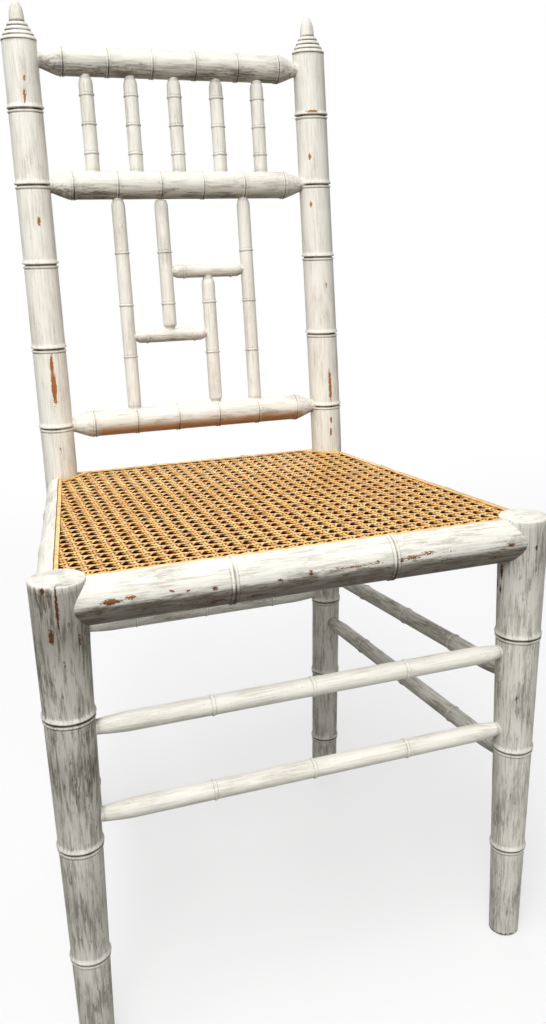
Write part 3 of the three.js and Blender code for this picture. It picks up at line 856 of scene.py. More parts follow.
def tube_faces(rings: int, count: int) -> list[tuple[int, ...]]:
    """The faces round a tube.

    Args:
        rings: How many stations there are.
        count: How many points each station has.

    Returns:
        One face for each side of each stretch.
    """
    return [
        (i * count + j, i * count + k, (i + 1) * count + k, (i + 1) * count + j)
        for i in range(rings - 1)
        for j, k in side_pairs(count)
    ]


@dataclass
class Turning:
    """A round piece on a line, with its ends closed."""

    SHARP = math.radians(48)
    GRAIN_SHIFT = 0.731
    END_GRAIN = 0.12
    made = 0

    node: str
    outline: Outline
    centres: Array
    across: Array
    over: Array
    sides: int
    marks: Marks = field(default_factory=Marks)

    @classmethod
    def between(
        cls,
        node: str,
        start: Array,
        end: Array,
        outline: Outline,
        sides: int,
        marks: Marks,
    ) -> "Turning":
        """A turning on a straight line.

        Args:
            node: The solid that it stands for.
            start: Where the outline's zero lies.
            end: A point that the line runs to.
            outline: Its outline.
            sides: How many sides approximate the round.
            marks: What time has left on it.

        Returns:
            The turning, with angle 0 to the right on uprights and on top of the others.
        """
        along = (end - start) / np.linalg.norm(end - start)
        first = RIGHT if abs(along @ UP) > DIAGONAL else UP
        across = first - along * (first @ along)
        across /= np.linalg.norm(across)
        centres = start + outline.along[:, None] * along
        return cls(node, outline, centres, across, np.cross(along, across), sides, marks)

    def build(self, material: Material) -> None:
        """Makes the turning's mesh and puts it in the scene.

        Args:
            material: Its finish.
        """
        rings = len(self.outline.along)
        turns = np.linspace(0, 2 * math.pi, self.sides, endpoint=False)
        along = np.repeat(self.outline.along, self.sides)
        radius = np.repeat(self.outline.radius, self.sides)
        around = np.tile(turns, rings)
        local = np.stack([radius * np.cos(around), radius * np.sin(around)], 1)
        points = np.repeat(self.centres, self.sides, 0) + local @ np.stack([self.across, self.over])
        ends = self.centres[[0, -1]]
        faces = tube_faces(rings, self.sides) + self._caps(rings)
        heart = np.zeros((2, 2))
        tips = self.outline.along[[0, -1]]
        plan = np.concatenate([local, heart])
        grain = np.column_stack([plan, np.concatenate([along, tips])]) * MM
        grain[-2 - self.sides : -2, :2] *= self.END_GRAIN
        marks = self.marks.on_points(self.outline, around, radius)
        marks = np.concatenate([marks, marks[[0, -1]]])
        mesh = self.shaped(self.node, np.concatenate([points, ends]), faces, self.SHARP)
        self.dress(self.node, mesh, grain, marks, material)

    @staticmethod
    def shaped(node: str, points: Array, faces: Sequence[tuple[int, ...]], sharp: float) -> Mesh:
        """A turned piece's mesh, smooth but for its sharp edges.

        Args:
            node: The solid that it stands for.
            points: Its points, in millimetres.
            faces: Its faces.
            sharp: The angle over which an edge is sharp.

        Returns:
            The mesh.
        """
        mesh = bpy.data.meshes.new(f"{node}_turned")
        mesh.from_pydata(points * MM, [], faces)
        mesh.shade_smooth()
        mesh.set_sharp_from_angle(angle=sharp)
        return mesh

    @classmethod
    def dress(
        cls,
        node: str,
        mesh: Mesh,
        grain: Array,
        marks: Array,
        material: Material,
    ) -> None:
        """Gives a turned piece its own stretch of grain and its marks, and puts it in the scene.

        Args:
            node: The solid that it stands for.
            mesh: Its mesh.
            grain: Each point's place in the wood, in metres.
            marks: Each point's dirt with painted shade, wear, soiling with painted shade, and rubbing.
            material: Its finish.
        """
        Turning.made += 1
        grain[:, 2] += Turning.made * cls.GRAIN_SHIFT
        write_marks(mesh, grain, marks)
        placed(f"{node}_turned", mesh, material, [node])

    def _caps(self, rings: int) -> list[tuple[int, ...]]:
        """The faces that close both ends.

        Args:
            rings: How many stations there are.

        Returns:
            A fan of faces on each end.
        """
        count = self.sides
        first = rings * count
        last = (rings - 1) * count
        pairs = side_pairs(count)
        bottom = [(k, j, first) for j, k in pairs]
        top = [(last + j, last + k, first + 1) for j, k in pairs]
        return bottom + top


@dataclass(frozen=True)
class MemberForm:
    """The shape of a rail, spindle, bar or stretcher between two carriers."""

    radius: float
    tapers: Pair
    end_radius: float
    ring: Ring
    sides: int
    bury: float = 6.0
    step: float = 4.0
    rounding: float = 0.45
    round_steps: int = 5
    joint_shade: float = 0.35
    joint_shade_spread: float = 1.6

    def _end(self, taper: float) -> list[Pair]:
        """One end's corners.

        Args:
            taper: The tapered end's length.

        Returns:
            Distance from the shoulder and radius of each corner, from the shoulder inward.
        """
        if taper == 0:
            return [(0.0, self.radius)]
        rise = self.radius - self.end_radius
        shares = np.linspace(0, 1, self.round_steps + 1)
        return [
            (taper * share, self.end_radius + rise * (share + self.rounding * share * (1 - share)))
            for share in shares
        ]

    def outline(self, length: float, reach: Sequence[float], rings: Sequence[float]) -> Outline:
        """The member's outline.

        Args:
            length: The distance between the carriers' axes.
            reach: How far each shoulder lies from its carrier's axis.
            rings: The distance of each ring.

        Returns:
            An outline from inside one carrier to inside the other, with painted shade at both joints.
        """
        start, end = reach[0], length - reach[1]
        first = self._end(self.tapers[0])
        last = self._end(self.tapers[1])
        shaft = [
            (start - self.bury, first[0][1]),
            *((start + at, radius) for at, radius in first),
            *((end - at, radius) for at, radius in reversed(last)),
            (end + self.bury, last[0][1]),
        ]
        outline = Outline.ringed(shaft, self.ring, rings, self.step)
        # Painted shade: a dark band where the member meets each carrier.
        for joint in (start, end):
            outline.add_dark_band(joint, self.joint_shade, self.joint_shade_spread)
        return outline

    def build(
        self,
        node: str,
        ends: Sequence[Array],
        reach: Sequence[float],
        rings: Sequence[float],
        marks: Marks,
        material: Material,
    ) -> None:
        """Makes a member of this shape."""
        outline = self.outline(span(ends), reach, rings)
        Turning.between(node, *ends, outline, self.sides, marks).build(material)


# Uprights


@dataclass
class BackPosts:
    """The two back posts, each with its finial."""

    FOOT_WEAR = foot_chips(5.0, 22.0, 0.62)
    SIDES = 64
    STEP = 3.0
    RINGS = (40.0, 137.0, 237.0, 337.0, 485.0, 568.5, 655.0, 734.5, 808.5)
    SOIL = ((0.0, 0.45), (300.0, 0.32), (415.0, 0.2), (440.0, 0.06), (900.0, 0.02))
    LEFT_CHIPS = (
        Chip(837, -90, 5, 2.6),
        Chip(820, -94, 16, 2.4),
        Chip(698, -88, 9, 3.0),
        Chip(552, -92, 22, 3.4),
        Chip(530, -92, 36, 5.2),
        Chip(463, -90, 12, 2.0, 0.75),
    )
    RIGHT_CHIPS = (
        Chip(812, -108, 3, 16, 0.9),
        Chip(764, -124, 7, 3.4),
        Chip(713, -128, 7, 2.6),
        Chip(624, -86, 9, 2.2, 0.8),
        Chip(509, -88, 40, 3.2),
        Chip(469, -90, 8, 2.6),
        Chip(455, -93, 10, 2.6),
    )

    finial_base: float = 874.0
    beads: int = 4
    bead_height: float = 4.6
    bead_lip: float = 0.9
    bullet_radius: float = 7.6
    bullet_length: float = 20.6
    bullet_power: float = 2.3
    bullet_steps: int = 14
    bead_steps: int = 7
    bead_groove: Pair = (0.2, 0.4)
    base_edge: Pair = (0.6, 0.5)
    tip_radius: float = 0.05
    groove_dirt: float = 1.0
    groove_spread: float = 0.8
    foot_chamfer: float = 1.2

    def finial(self) -> list[Pair]:
        """The finial's corners: beads that step in, then a blunt bullet.

        Returns:
            Distance and radius of each corner above the finial's base.
        """
        corners = []
        groove_drop, groove_depth = self.bead_groove
        narrowing = (self.bullet_radius - PLAN.post_radius) / self.beads
        for bead in range(self.beads):
            low = PLAN.post_radius + narrowing * bead
            high = low + narrowing
            bottom = self.finial_base + bead * self.bead_height
            for i in range(1, self.bead_steps):
                share = i / self.bead_steps
                plain = low + narrowing * share**2
                bulge = self.bead_lip * math.sqrt(math.sin(math.pi * share))
                corners.append((bottom + self.bead_height * share, plain + bulge))
            corners.append((bottom + self.bead_height - groove_drop, high - groove_depth))
        base = self.finial_base + self.beads * self.bead_height
        for i in range(self.bullet_steps + 1):
            share = math.sin(i / self.bullet_steps * math.pi / 2)
            radius = self.bullet_radius * math.sqrt(max(0.0, 1 - share**self.bullet_power))
            corners.append((base + self.bullet_length * share, radius + self.tip_radius))
        return corners

    def outline(self) -> Outline:
        """A post's outline from foot to tip.

        Returns:
            The outline, with dirt in its rings and between its beads.
        """
        edge_drop, edge_depth = self.base_edge
        shaft = [
            (0.0, PLAN.post_foot_radius - self.foot_chamfer),
            (self.foot_chamfer, PLAN.post_foot_radius),
            (PLAN.seat_height, PLAN.post_radius),
            (self.finial_base - edge_drop, PLAN.post_radius),
            (self.finial_base, PLAN.post_radius - edge_depth),
            *self.finial(),
        ]
        outline = Outline.ringed(shaft, Ring.POST, self.RINGS, self.STEP)
        for bead in range(self.beads + 1):
            groove = self.finial_base + bead * self.bead_height
            outline.add_dark_band(groove, self.groove_dirt, self.groove_spread)
        return outline

    def build(self, material: Material) -> None:
        """Makes both posts.

        Args:
            material: Their paint.
        """
        chips = {Side.LEFT: self.LEFT_CHIPS, Side.RIGHT: self.RIGHT_CHIPS}
        for side in Side:
            outline = self.outline()
            across = side.value * PLAN.post_spacing / 2
            y = PLAN.post_y(outline.along)
            centres = np.stack([np.full_like(y, across), y, outline.along], 1)
            marks = Marks(chips[side] + self.FOOT_WEAR, self.SOIL)
            node = f"back_post_{side.name.lower()}"
            Turning(node, outline, centres, RIGHT, BACK, self.SIDES, marks).build(material)


@dataclass
class FrontLegs:
    """The two tapered front legs with their flat round tops."""

    FOOT_WEAR = foot_chips(6.0, 20.0, 0.66)
    SIDES = 72
    STEP = 3.0
    RINGS = (98.0, 205.0, 320.5)
    # Soiling along each leg, which also paints shade that greys the front legs, the left one more than
    # the right.
    LEFT_SOIL_AND_SHADE = (
        (0.0, 0.5), (60.0, 0.6), (95.0, 0.36), (150.0, 0.72), (202.0, 0.46),
        (280.0, 0.78), (324.0, 0.56), (390.0, 0.86), (428.0, 0.8), (432.9, 0.3),
    )
    RIGHT_SOIL_AND_SHADE = (
        (0.0, 0.32), (45.0, 0.5), (95.0, 0.22), (145.0, 0.52), (202.0, 0.3),
        (250.0, 0.54), (324.0, 0.28), (395.0, 0.6), (428.0, 0.5), (432.9, 0.16),
    )
    LEFT_CHIPS = (
        Chip(430, -126, 5, 4),
        Chip(416, -100, 34, 2.2),
        Chip(394, -116, 12, 4),
        Chip(388, -58, 16, 3, 0.7),
        Chip(372, -96, 10, 2.4, 0.6),
    )
    RIGHT_CHIPS = (
        Chip(409, -91, 5, 3),
        Chip(384, -177, 16, 3.4),
        Chip(370, 163, 16, 2.6),
        Chip(366, -180, 8, 3.4),
        Chip(262, -120, 14, 3, 0.6),
    )

    chamfer: float = 1.5
    chamfer_end: float = math.pi / 2 - 0.02
    chamfer_steps: int = 6
    foot_chamfer: float = 1.2

    def _top_edge(self) -> list[Pair]:
        """The rounded edge of a leg's flat top.

        Returns:
            Distance and radius of each corner, from below.
        """
        low, inner = PLAN.leg_height - self.chamfer, PLAN.leg_radius - self.chamfer
        return [
            (low + self.chamfer * math.sin(turn), inner + self.chamfer * math.cos(turn))
            for turn in np.linspace(0, self.chamfer_end, self.chamfer_steps)
        ]

    def build(self, material: Material) -> None:
        """Makes both legs.

        Args:
            material: Their paint.
        """
        shaft = [
            (0.0, PLAN.leg_foot_radius - self.foot_chamfer),
            (self.foot_chamfer, PLAN.leg_radius_at(self.foot_chamfer)),
            *self._top_edge(),
        ]
        chips = {Side.LEFT: self.LEFT_CHIPS, Side.RIGHT: self.RIGHT_CHIPS}
        soils_and_shade = {Side.LEFT: self.LEFT_SOIL_AND_SHADE, Side.RIGHT: self.RIGHT_SOIL_AND_SHADE}
        for side in Side:
            outline = Outline.ringed(shaft, Ring.POST, self.RINGS, self.STEP)
            marks = Marks(chips[side] + self.FOOT_WEAR, soils_and_shade[side])
            node = f"front_leg_{side.name.lower()}"
            start, end = PLAN.leg_point(side, 0.0), PLAN.leg_point(side, PLAN.leg_height)
            Turning.between(node, start, end, outline, self.SIDES, marks).build(material)


# Back


@dataclass
class Back:
    """The three rails, the gallery spindles and the fret."""

    RAIL = MemberForm(14.2, (17.0, 17.0), 7.6, Ring.RAIL, 48, rounding=0.1)
    SPINDLE = MemberForm(7.3, (0.0, 6.0), 5.6, Ring.SPINDLE, 32, rounding=0.9)
    SHORT_SPINDLE = MemberForm(7.3, (3.0, 6.0), 5.4, Ring.SPINDLE, 32, bury=3.0, rounding=0.9)
    BAR = MemberForm(7.3, (6.0, 6.0), 4.6, Ring.SPINDLE, 32, bury=3.0, rounding=0.9)
    RAIL_RINGS = 6
    GALLERY_COUNT = 5
    GALLERY_RINGS = 3
    FRET_COUNT = 4
    FRET_RINGS = 3
    BAR_RINGS = 2
    RUBBING = Rubbing(172.0, 98.0, 36.0, 290.0)

    rail_soil: float = 0.06
    # Painted shade under the rails and the fret bars.
    rail_grime: float = 0.65
    bar_grime: float = 0.5
    post_lip: float = 1.4
    rail_lip: float = 0.9
    ring_half: float = 4.0
    gallery_inset: float = 17.0
    fret_pitch: float = 55.0
    bar_offset: float = 34.0
    bar_inset: float = 12.4

    def _rail_reach(self) -> float:
        """How far a rail's shoulder lies from a post's axis."""
        return PLAN.post_radius + self.post_lip + PLAN.joint_gap

    def _ring_pitch(self) -> float:
        """The distance between two rings of a rail."""
        inset = self._rail_reach() + self.RAIL.tapers[0] + self.ring_half
        return (PLAN.post_spacing - 2 * inset) / (self.RAIL_RINGS - 1)

    def build(self, material: Material) -> None:
        """Makes the whole back.

        Args:
            material: Its paint.
        """
        self._build_rails(material)
        self._build_gallery(material)
        self._build_fret(material)

    def _build_rails(self, material: Material) -> None:
        """Makes the three rails, the lower one rubbed bare underneath.

        Args:
            material: Their paint.
        """
        reach = [self._rail_reach()] * 2
        rings = spread(self.RAIL_RINGS, self._ring_pitch(), PLAN.post_spacing / 2)
        heights = {"lower": PLAN.lower_rail, "middle": PLAN.middle_rail, "top": PLAN.top_rail}
        for level, height in heights.items():
            rubbing = self.RUBBING if level == "lower" else None
            ends = [PLAN.post_point(side, height) for side in Side]
            marks = Marks((), ((0.0, self.rail_soil),), rubbing, self.rail_grime)
            self.RAIL.build(f"{level}_rail", ends, reach, rings, marks, material)

    def _build_gallery(self, material: Material) -> None:
        """Makes the short spindles between the middle and top rails.

        Args:
            material: Their paint.
        """
        reach = self.RAIL.radius + self.rail_lip + PLAN.joint_gap
        for i, x in enumerate(spread(self.GALLERY_COUNT, self._ring_pitch())):
            ends = [PLAN.back_point(x, height) for height in (PLAN.middle_rail, PLAN.top_rail)]
            rings = spread_between(self.GALLERY_RINGS, reach, span(ends) - reach, self.gallery_inset)
            node = f"gallery_spindle_{i + 1}"
            self.SPINDLE.build(node, ends, (reach, reach), rings, Marks(), material)

    def _build_fret(self, material: Material) -> None:
        """Makes the fret's four spindles and two cross bars.

        Args:
            material: Their paint.
        """
        middle = (PLAN.lower_rail + PLAN.middle_rail) / 2
        upper, lower = middle + self.bar_offset, middle - self.bar_offset
        places = spread(self.FRET_COUNT, self._ring_pitch())
        on_rail = self.RAIL.radius + self.rail_lip + PLAN.joint_gap
        on_bar = self.SPINDLE.radius + self.rail_lip + PLAN.joint_gap
        runs = (
            (PLAN.lower_rail, PLAN.middle_rail, on_rail, on_rail),
            (lower, PLAN.middle_rail, on_bar, on_rail),
            (PLAN.lower_rail, upper, on_rail, on_bar),
            (PLAN.lower_rail, PLAN.middle_rail, on_rail, on_rail),
        )
        clear = self.fret_pitch / 2
        for i, (bottom, top, *reach) in enumerate(runs):
            ends = [PLAN.back_point(places[i], height) for height in (bottom, top)]
            rings = [
                (at - bottom) * span(ends) / (top - bottom)
                for at in spread(self.FRET_RINGS, self.fret_pitch, middle)
                if at - bottom > clear and top - at > clear
            ]
            form = self.SHORT_SPINDLE if on_bar in reach else self.SPINDLE
            form.build(f"fret_spindle_{i + 1}", ends, reach, rings, Marks(), material)
        reach = [self.SPINDLE.radius + PLAN.joint_gap] * 2
        for level, height, carriers in (("upper", upper, (1, 3)), ("lower", lower, (0, 2))):
            ends = [PLAN.back_point(places[i], height) for i in carriers]
            rings = spread_between(self.BAR_RINGS, reach[0], span(ends) - reach[1], self.bar_inset)
            marks = Marks(painted_shade_below=self.bar_grime)
            self.BAR.build(f"fret_bar_{level}", ends, reach, rings, marks, material)


# Seat frame


@dataclass
class SeatRail:
    """A round rail with a rebate for the cane along its inner top edge."""

    STEP = 3.0
    SIDES = 60
    SHARP = math.radians(40)
    RINGS = 2
    REBATE_POINTS = 2
    STEEPEST = 0.999

    node: str
    start: Array
    end: Array
    inward: Array
    radii: Pair
    bury: Pair
    ring_pitch: float
    edge_out: float
    floor: float
    marks: Marks

    def build(self, material: Material) -> None:
        """Makes the rail's mesh and puts it in the scene.

        Args:
            material: Its paint.
        """
        length = span((self.start, self.end))
        shaft = [
            (at, self.radii[0] + (self.radii[1] - self.radii[0]) * at / length)
            for at in (self.bury[0], length - self.bury[1])
        ]
        rings = spread(self.RINGS, self.ring_pitch, length / 2)
        outline = Outline.ringed(shaft, Ring.SEAT, rings, self.STEP)
        centres = self.start + outline.along[:, None] / length * (self.end - self.start)
        rows = [self._section(c, r) for c, r in zip(centres, outline.radius)]
        points, local = (np.concatenate(parts) for parts in zip(*rows))
        count = len(rows[0][0])
        last = (len(rows) - 1) * count
        faces = tube_faces(len(rows), count)
        faces += [tuple(reversed(range(count))), tuple(range(last, last + count))]
        grain = np.column_stack([local, np.repeat(outline.along, count)]) * MM
        around = np.arctan2(-local[:, 0], local[:, 1])
        marks = self.marks.on_points(outline, around, np.hypot(local[:, 0], local[:, 1]))
        inner = np.tile(np.arange(count) >= count - self.REBATE_POINTS, len(rows))
        marks[inner, 0] = 1.0
        mesh = Turning.shaped(self.node, points, faces, self.SHARP)
        Turning.dress(self.node, mesh, grain, marks, material)

    def _section(self, centre: Array, radius: float) -> tuple[Array, Array]:
        """The rail's cross section at one station.

        Args:
            centre: The station's place on the axis.
            radius: The radius there.

        Returns:
            The section's points in the frame, and in its own plane as inward and up.
        """
        shelf = self.floor - centre[2]
        wall = math.acos(-self.edge_out / radius)
        inner = 2 * math.pi + math.asin(min(self.STEEPEST, shelf / radius))
        turns = np.linspace(wall, inner, self.SIDES)
        arc = np.stack([radius * np.cos(turns), radius * np.sin(turns)], 1)
        local = np.concatenate([arc, [[-self.edge_out, shelf]]])
        return centre + local @ np.stack([self.inward, UP]), local


@dataclass
class SeatFrame:
    """The four seat rails, each with its radii at both ends, its rings' pitch and its marks.

    They run round the seat, from each of CORNERS to the next, where True means a rear corner.
    """

    FRONT_CHIPS = (
        Chip(36, 83, 15, 4.0),
        Chip(51, 80, 11, 2.4, 0.9),
        Chip(83, 78, 4, 2.4),
        Chip(96, 82, 4, 2.4),
        Chip(117, 86, 4, 4),
        Chip(171, 90, 4, 4),
        Chip(196, 78, 3, 3, 0.8),
        Chip(196, 86, 3, 3, 0.9),
        Chip(201, 86, 3, 3, 0.8),
        Chip(232, 82, 70, 3.0, 0.62),
        Chip(256, 80, 6, 2.6, 0.8),
        Chip(278, 85, 7, 4, 0.66),
        Chip(288, 81, 28, 5.0, 0.6),
        Chip(302, 76, 16, 5.0, 0.62),
        Chip(325, 80, 30, 2.4, 0.56),
        Chip(100, 116, 60, 3.0, 0.5),
        Chip(121, 122, 26, 5, 0.58),
        Chip(150, 124, 22, 6, 0.58),
        Chip(383, 86, 9, 4, 0.8),
        Chip(368, 116, 22, 7, 0.5),
    )
    CORNERS = ((Side.LEFT, False), (Side.RIGHT, False), (Side.RIGHT, True), (Side.LEFT, True))
    # Painted shade under the seat rails; on the front rail it reaches well up the face.
    FRONT_MARKS = Marks(FRONT_CHIPS, ((0.0, 0.2),), painted_shade_below=2.4, painted_shade_from=0.16)
    RAILS = {
        "front": ((20.0, 20.0), 140.0, FRONT_MARKS),
        "right": ((19.0, 15.5), 115.0, Marks((), ((0.0, 0.3),), painted_shade_below=0.6)),
        "rear": ((15.5, 15.5), 105.0, Marks((), ((0.0, 0.4),), painted_shade_below=0.5)),
        "left": ((15.5, 19.0), 115.0, Marks((), ((0.0, 0.12),), painted_shade_below=0.6)),
    }

    rail_top: float = 432.8
    edge_out: float = 3.3
    rebate_floor: float = 428.2
    leg_bury: float = 8.0
    post_bury: float = 7.0

    def _corner(self, side: Side, at_post: bool, radius: float) -> Array:
        """Where a rail's axis meets a leg's or a post's.

        Args:
            side: The chair's side.
            at_post: Whether it is the rear corner.
            radius: The rail's radius there.

        Returns:
            The corner, with the rail's top at its common height.
        """
        if at_post:
            corner = PLAN.post_point(side, PLAN.seat_height)
        else:
            corner = PLAN.leg_point(side, PLAN.seat_height)
        corner[2] = self.rail_top - radius
        return corner

    def build(self, material: Material) -> None:
        """Makes the four rails.

        Args:
            material: Their paint.
        """
        for i, (place, (radii, pitch, marks)) in enumerate(self.RAILS.items()):
            corners = self.CORNERS[i], self.CORNERS[(i + 1) % len(self.CORNERS)]
            start, end = (self._corner(*at, radius) for at, radius in zip(corners, radii))
            bury = tuple(self.post_bury if at_post else self.leg_bury for _, at_post in corners)
            run = (end - start) * (RIGHT + BACK)
            SeatRail(
                node=f"seat_rail_{place}",
                start=start,
                end=end,
                inward=np.cross(UP, run / np.linalg.norm(run)),
                radii=radii,
                bury=bury,
                ring_pitch=pitch,
                edge_out=self.edge_out,
                floor=self.rebate_floor,
                marks=marks,
            ).build(material)


# Base


@dataclass
class Stretchers:
    """The seven stretchers between the legs and posts."""

    FORM = MemberForm(8.2, (24.0, 24.0), 6.2, Ring.SPINDLE, 36)
    RING_COUNT = 3
    FRONT = {"upper": 305.0, "lower": 226.5}
    SIDES = {"upper": (275.0, 275.0), "lower": (190.0, 211.0)}

    front_soil: float = 0.0
    side_soil: float = 0.4
    rear_soil: float = 0.35
    rear_height: float = 247.0
    post_lip: float = 1.4
    front_inset: float = 94.0
    side_inset: float = 72.0
    rear_inset: float = 54.0

    def _build_one(
        self,
        node: str,
        ends: Sequence[Array],
        radii: Sequence[float],
        inset: float,
        soil_and_shade: float,
        material: Material,
    ) -> None:
        """Makes one stretcher.

        Args:
            node: The solid that it stands for.
            ends: Where its axis meets its carriers' axes.
            radii: The carriers' radii there.
            inset: How far its first and last rings lie from its shoulders.
            soil_and_shade: How dirty it is, as a level of the soiling mark, which elsewhere also holds
                painted shade.
            material: Its paint.
        """
        reach = [radius + self.post_lip + PLAN.joint_gap for radius in radii]
        rings = spread_between(self.RING_COUNT, reach[0], span(ends) - reach[1], inset)
        self.FORM.build(node, ends, reach, rings, Marks((), ((0.0, soil_and_shade),)), material)

    def build(self, material: Material) -> None:
        """Makes all seven.

        Args:
            material: Their paint.
        """
        for level, height in self.FRONT.items():
            ends = [PLAN.leg_point(side, height) for side in Side]
            radii = [PLAN.leg_radius_at(height)] * 2
            node = f"front_stretcher_{level}"
            self._build_one(node, ends, radii, self.front_inset, self.front_soil, material)
        for side in Side:
            for level, (front, rear) in self.SIDES.items():
                ends = [PLAN.leg_point(side, front), PLAN.post_point(side, rear)]
                radii = [PLAN.leg_radius_at(front), PLAN.post_radius_at(rear)]
                node = f"side_stretcher_{side.name.lower()}_{level}"
                self._build_one(node, ends, radii, self.side_inset, self.side_soil, material)
        ends = [PLAN.post_point(side, self.rear_height) for side in Side]
        radii = [PLAN.post_radius_at(self.rear_height)] * 2
        self._build_one("rear_stretcher", ends, radii, self.rear_inset, self.rear_soil, material)


# Cane


class Run(Enum):
    """The four directions in which strands are woven."""

    WARP = "warp"
    WEFT = "weft"
    RISING = "rising"
    FALLING = "falling"


@dataclass
class StrandTree:
    """A node tree that turns guide lines into flat strands that wave over and under each other."""

    INPUTS = {
        "NodeSocketFloat": (
            "Step", "Pitch", "Half Pair", "Wave", "Tilt", "Level", "Width", "Thickness", "Wander",
        ),
        "NodeSocketInt": ("Seed",),
        "NodeSocketMaterial": ("Material",),
    }
    SECTION_SIDES = 6
    WANDER_SIZE = (22.0, 22.0, 22.0)
    WANDER_DETAIL = 1.0

    run: Run | None

    def build(self) -> tuple[bpy.types.NodeTree, dict[str, str]]:
        """Makes the tree.

        Returns:
            The tree, and each input's identifier by its name.
        """
        name = self.run.value if self.run else "flat"
        group = bpy.data.node_groups.new(f"strands_{name}", "GeometryNodeTree")
        made = group.interface.new_socket
        for way in ("INPUT", "OUTPUT"):
            made(name="Geometry", in_out=way, socket_type="NodeSocketGeometry")
        names = {
            name: made(name=name, in_out="INPUT", socket_type=kind).identifier
            for kind, group_names in self.INPUTS.items()
            for name in group_names
        }
        tree = Tree(group)
        given = tree.node("NodeGroupInput").outputs
        lines = tree.first("GeometryNodeMeshToCurve", None, {"Mesh": given["Geometry"]})
        inputs = {"Curve": lines, "Length": given["Step"]}
        resampled = tree.first("GeometryNodeResampleCurve", {"mode": "LENGTH"}, inputs)
        settings = {"data_type": "FLOAT", "domain": "CURVE"}
        inputs = {"Geometry": resampled, "Name": "tint", "Value": self._tint(tree, given)}
        tinted = tree.first("GeometryNodeStoreNamedAttribute", settings, inputs)
        inputs = {"Geometry": tinted, "Offset": self._offset(tree, given)}
        woven = tree.first("GeometryNodeSetPosition", None, inputs)
        level = tree.first("GeometryNodeSetCurveNormal", {"mode": "Z_UP"}, {"Curve": woven})
        section = self._section(tree, given)
        inputs = {"Curve": level, "Profile Curve": section, "Fill Caps": True}
        strand = tree.first("GeometryNodeCurveToMesh", None, inputs)
        smooth = tree.first("GeometryNodeSetShadeSmooth", None, {0: strand})
        real = tree.first("GeometryNodeRealizeInstances", None, {"Geometry": smooth})
        inputs = {"Geometry": real, "Material": given["Material"]}
        dressed = tree.first("GeometryNodeSetMaterial", None, inputs)
        tree.node("NodeGroupOutput", None, {"Geometry": dressed})
        return group, names

    def _tint(self, tree: Tree, given: Any) -> Socket:
        """A tint for each strand.

        Args:
            tree: The tree to add to.
            given: The tree's inputs.

        Returns:
            A socket with a random share from 0 to 1.
        """
        inputs = {"ID": tree.first("GeometryNodeInputIndex"), "Seed": given["Seed"]}
        chance = tree.node("FunctionNodeRandomValue", {"data_type": "FLOAT"}, inputs)
        return next(s for s in chance.outputs if s.enabled)

    def _section(self, tree: Tree, given: Any) -> Socket:
        """A strand's cross section.

        Args:
            tree: The tree to add to.
            given: The tree's inputs.

        Returns:
            A closed curve as wide and thick as a strand.
        """
        inputs = {"Resolution": self.SECTION_SIDES, "Radius": HALF}
        round_section = tree.first("GeometryNodeCurvePrimitiveCircle", None, inputs)
        inputs = {"X": given["Width"], "Y": given["Thickness"], "Z": 1.0}
        size = tree.first("ShaderNodeCombineXYZ", None, inputs)
        inputs = {"Geometry": round_section, "Scale": size}
        return tree.first("GeometryNodeTransform", None, inputs)

    def _offset(self, tree: Tree, given: Any) -> Socket:
        """How far each point of a strand leaves its guide.

        Args:
            tree: The tree to add to.
            given: The tree's inputs.

        Returns:
            A vector socket: a little wander in plan, and the weave's wave in height.
        """
        place = tree.first("GeometryNodeInputPosition")
        settings = {"data_type": "FLOAT"}
        named = tree.node("GeometryNodeInputNamedAttribute", settings, {"Name": "side"})
        side = Value(tree, named.outputs["Attribute"])
        height = Value(tree, given["Level"]) + side * Value(tree, given["Tilt"])
        if self.run is not None:
            wave = self._wave(tree, given, tree.split(place), side)
            height = height + wave * Value(tree, given["Wave"])
        noise = tree.stretched_noise(place, self.WANDER_SIZE, self.WANDER_DETAIL)
        drift = (noise - HALF) * Value(tree, given["Wander"])
        return tree.first("ShaderNodeCombineXYZ", None, {"X": drift, "Y": drift, "Z": height})

    def _wave(self, tree: Tree, given: Any, shares: Mapping[Axis, Value], side: Value) -> Value:
        """The weave's wave over and under the crossing strands.

        Args:
            tree: The tree to add to.
            given: The tree's inputs.
            shares: A point's X, Y and Z.
            side: Which strand of its pair a point is on.

        Returns:
            A value from -1 to 1.
        """
        pitch = Value(tree, given["Pitch"])
        if self.run in (Run.RISING, Run.FALLING):
            turn = shares[Axis.X] / pitch * (2 * math.pi)
            return turn.cosine() * (1.0 if self.run is Run.RISING else -1.0)
        along = shares[Axis.Y] if self.run is Run.WARP else shares[Axis.X]
        cells = along / pitch
        near = (cells - cells.rounded()) * pitch / Value(tree, given["Half Pair"])
        hump = near * ((1.0 - near * near) * HALF).exponential()
        return hump * side * (-1.0 if self.run is Run.WARP else 1.0)


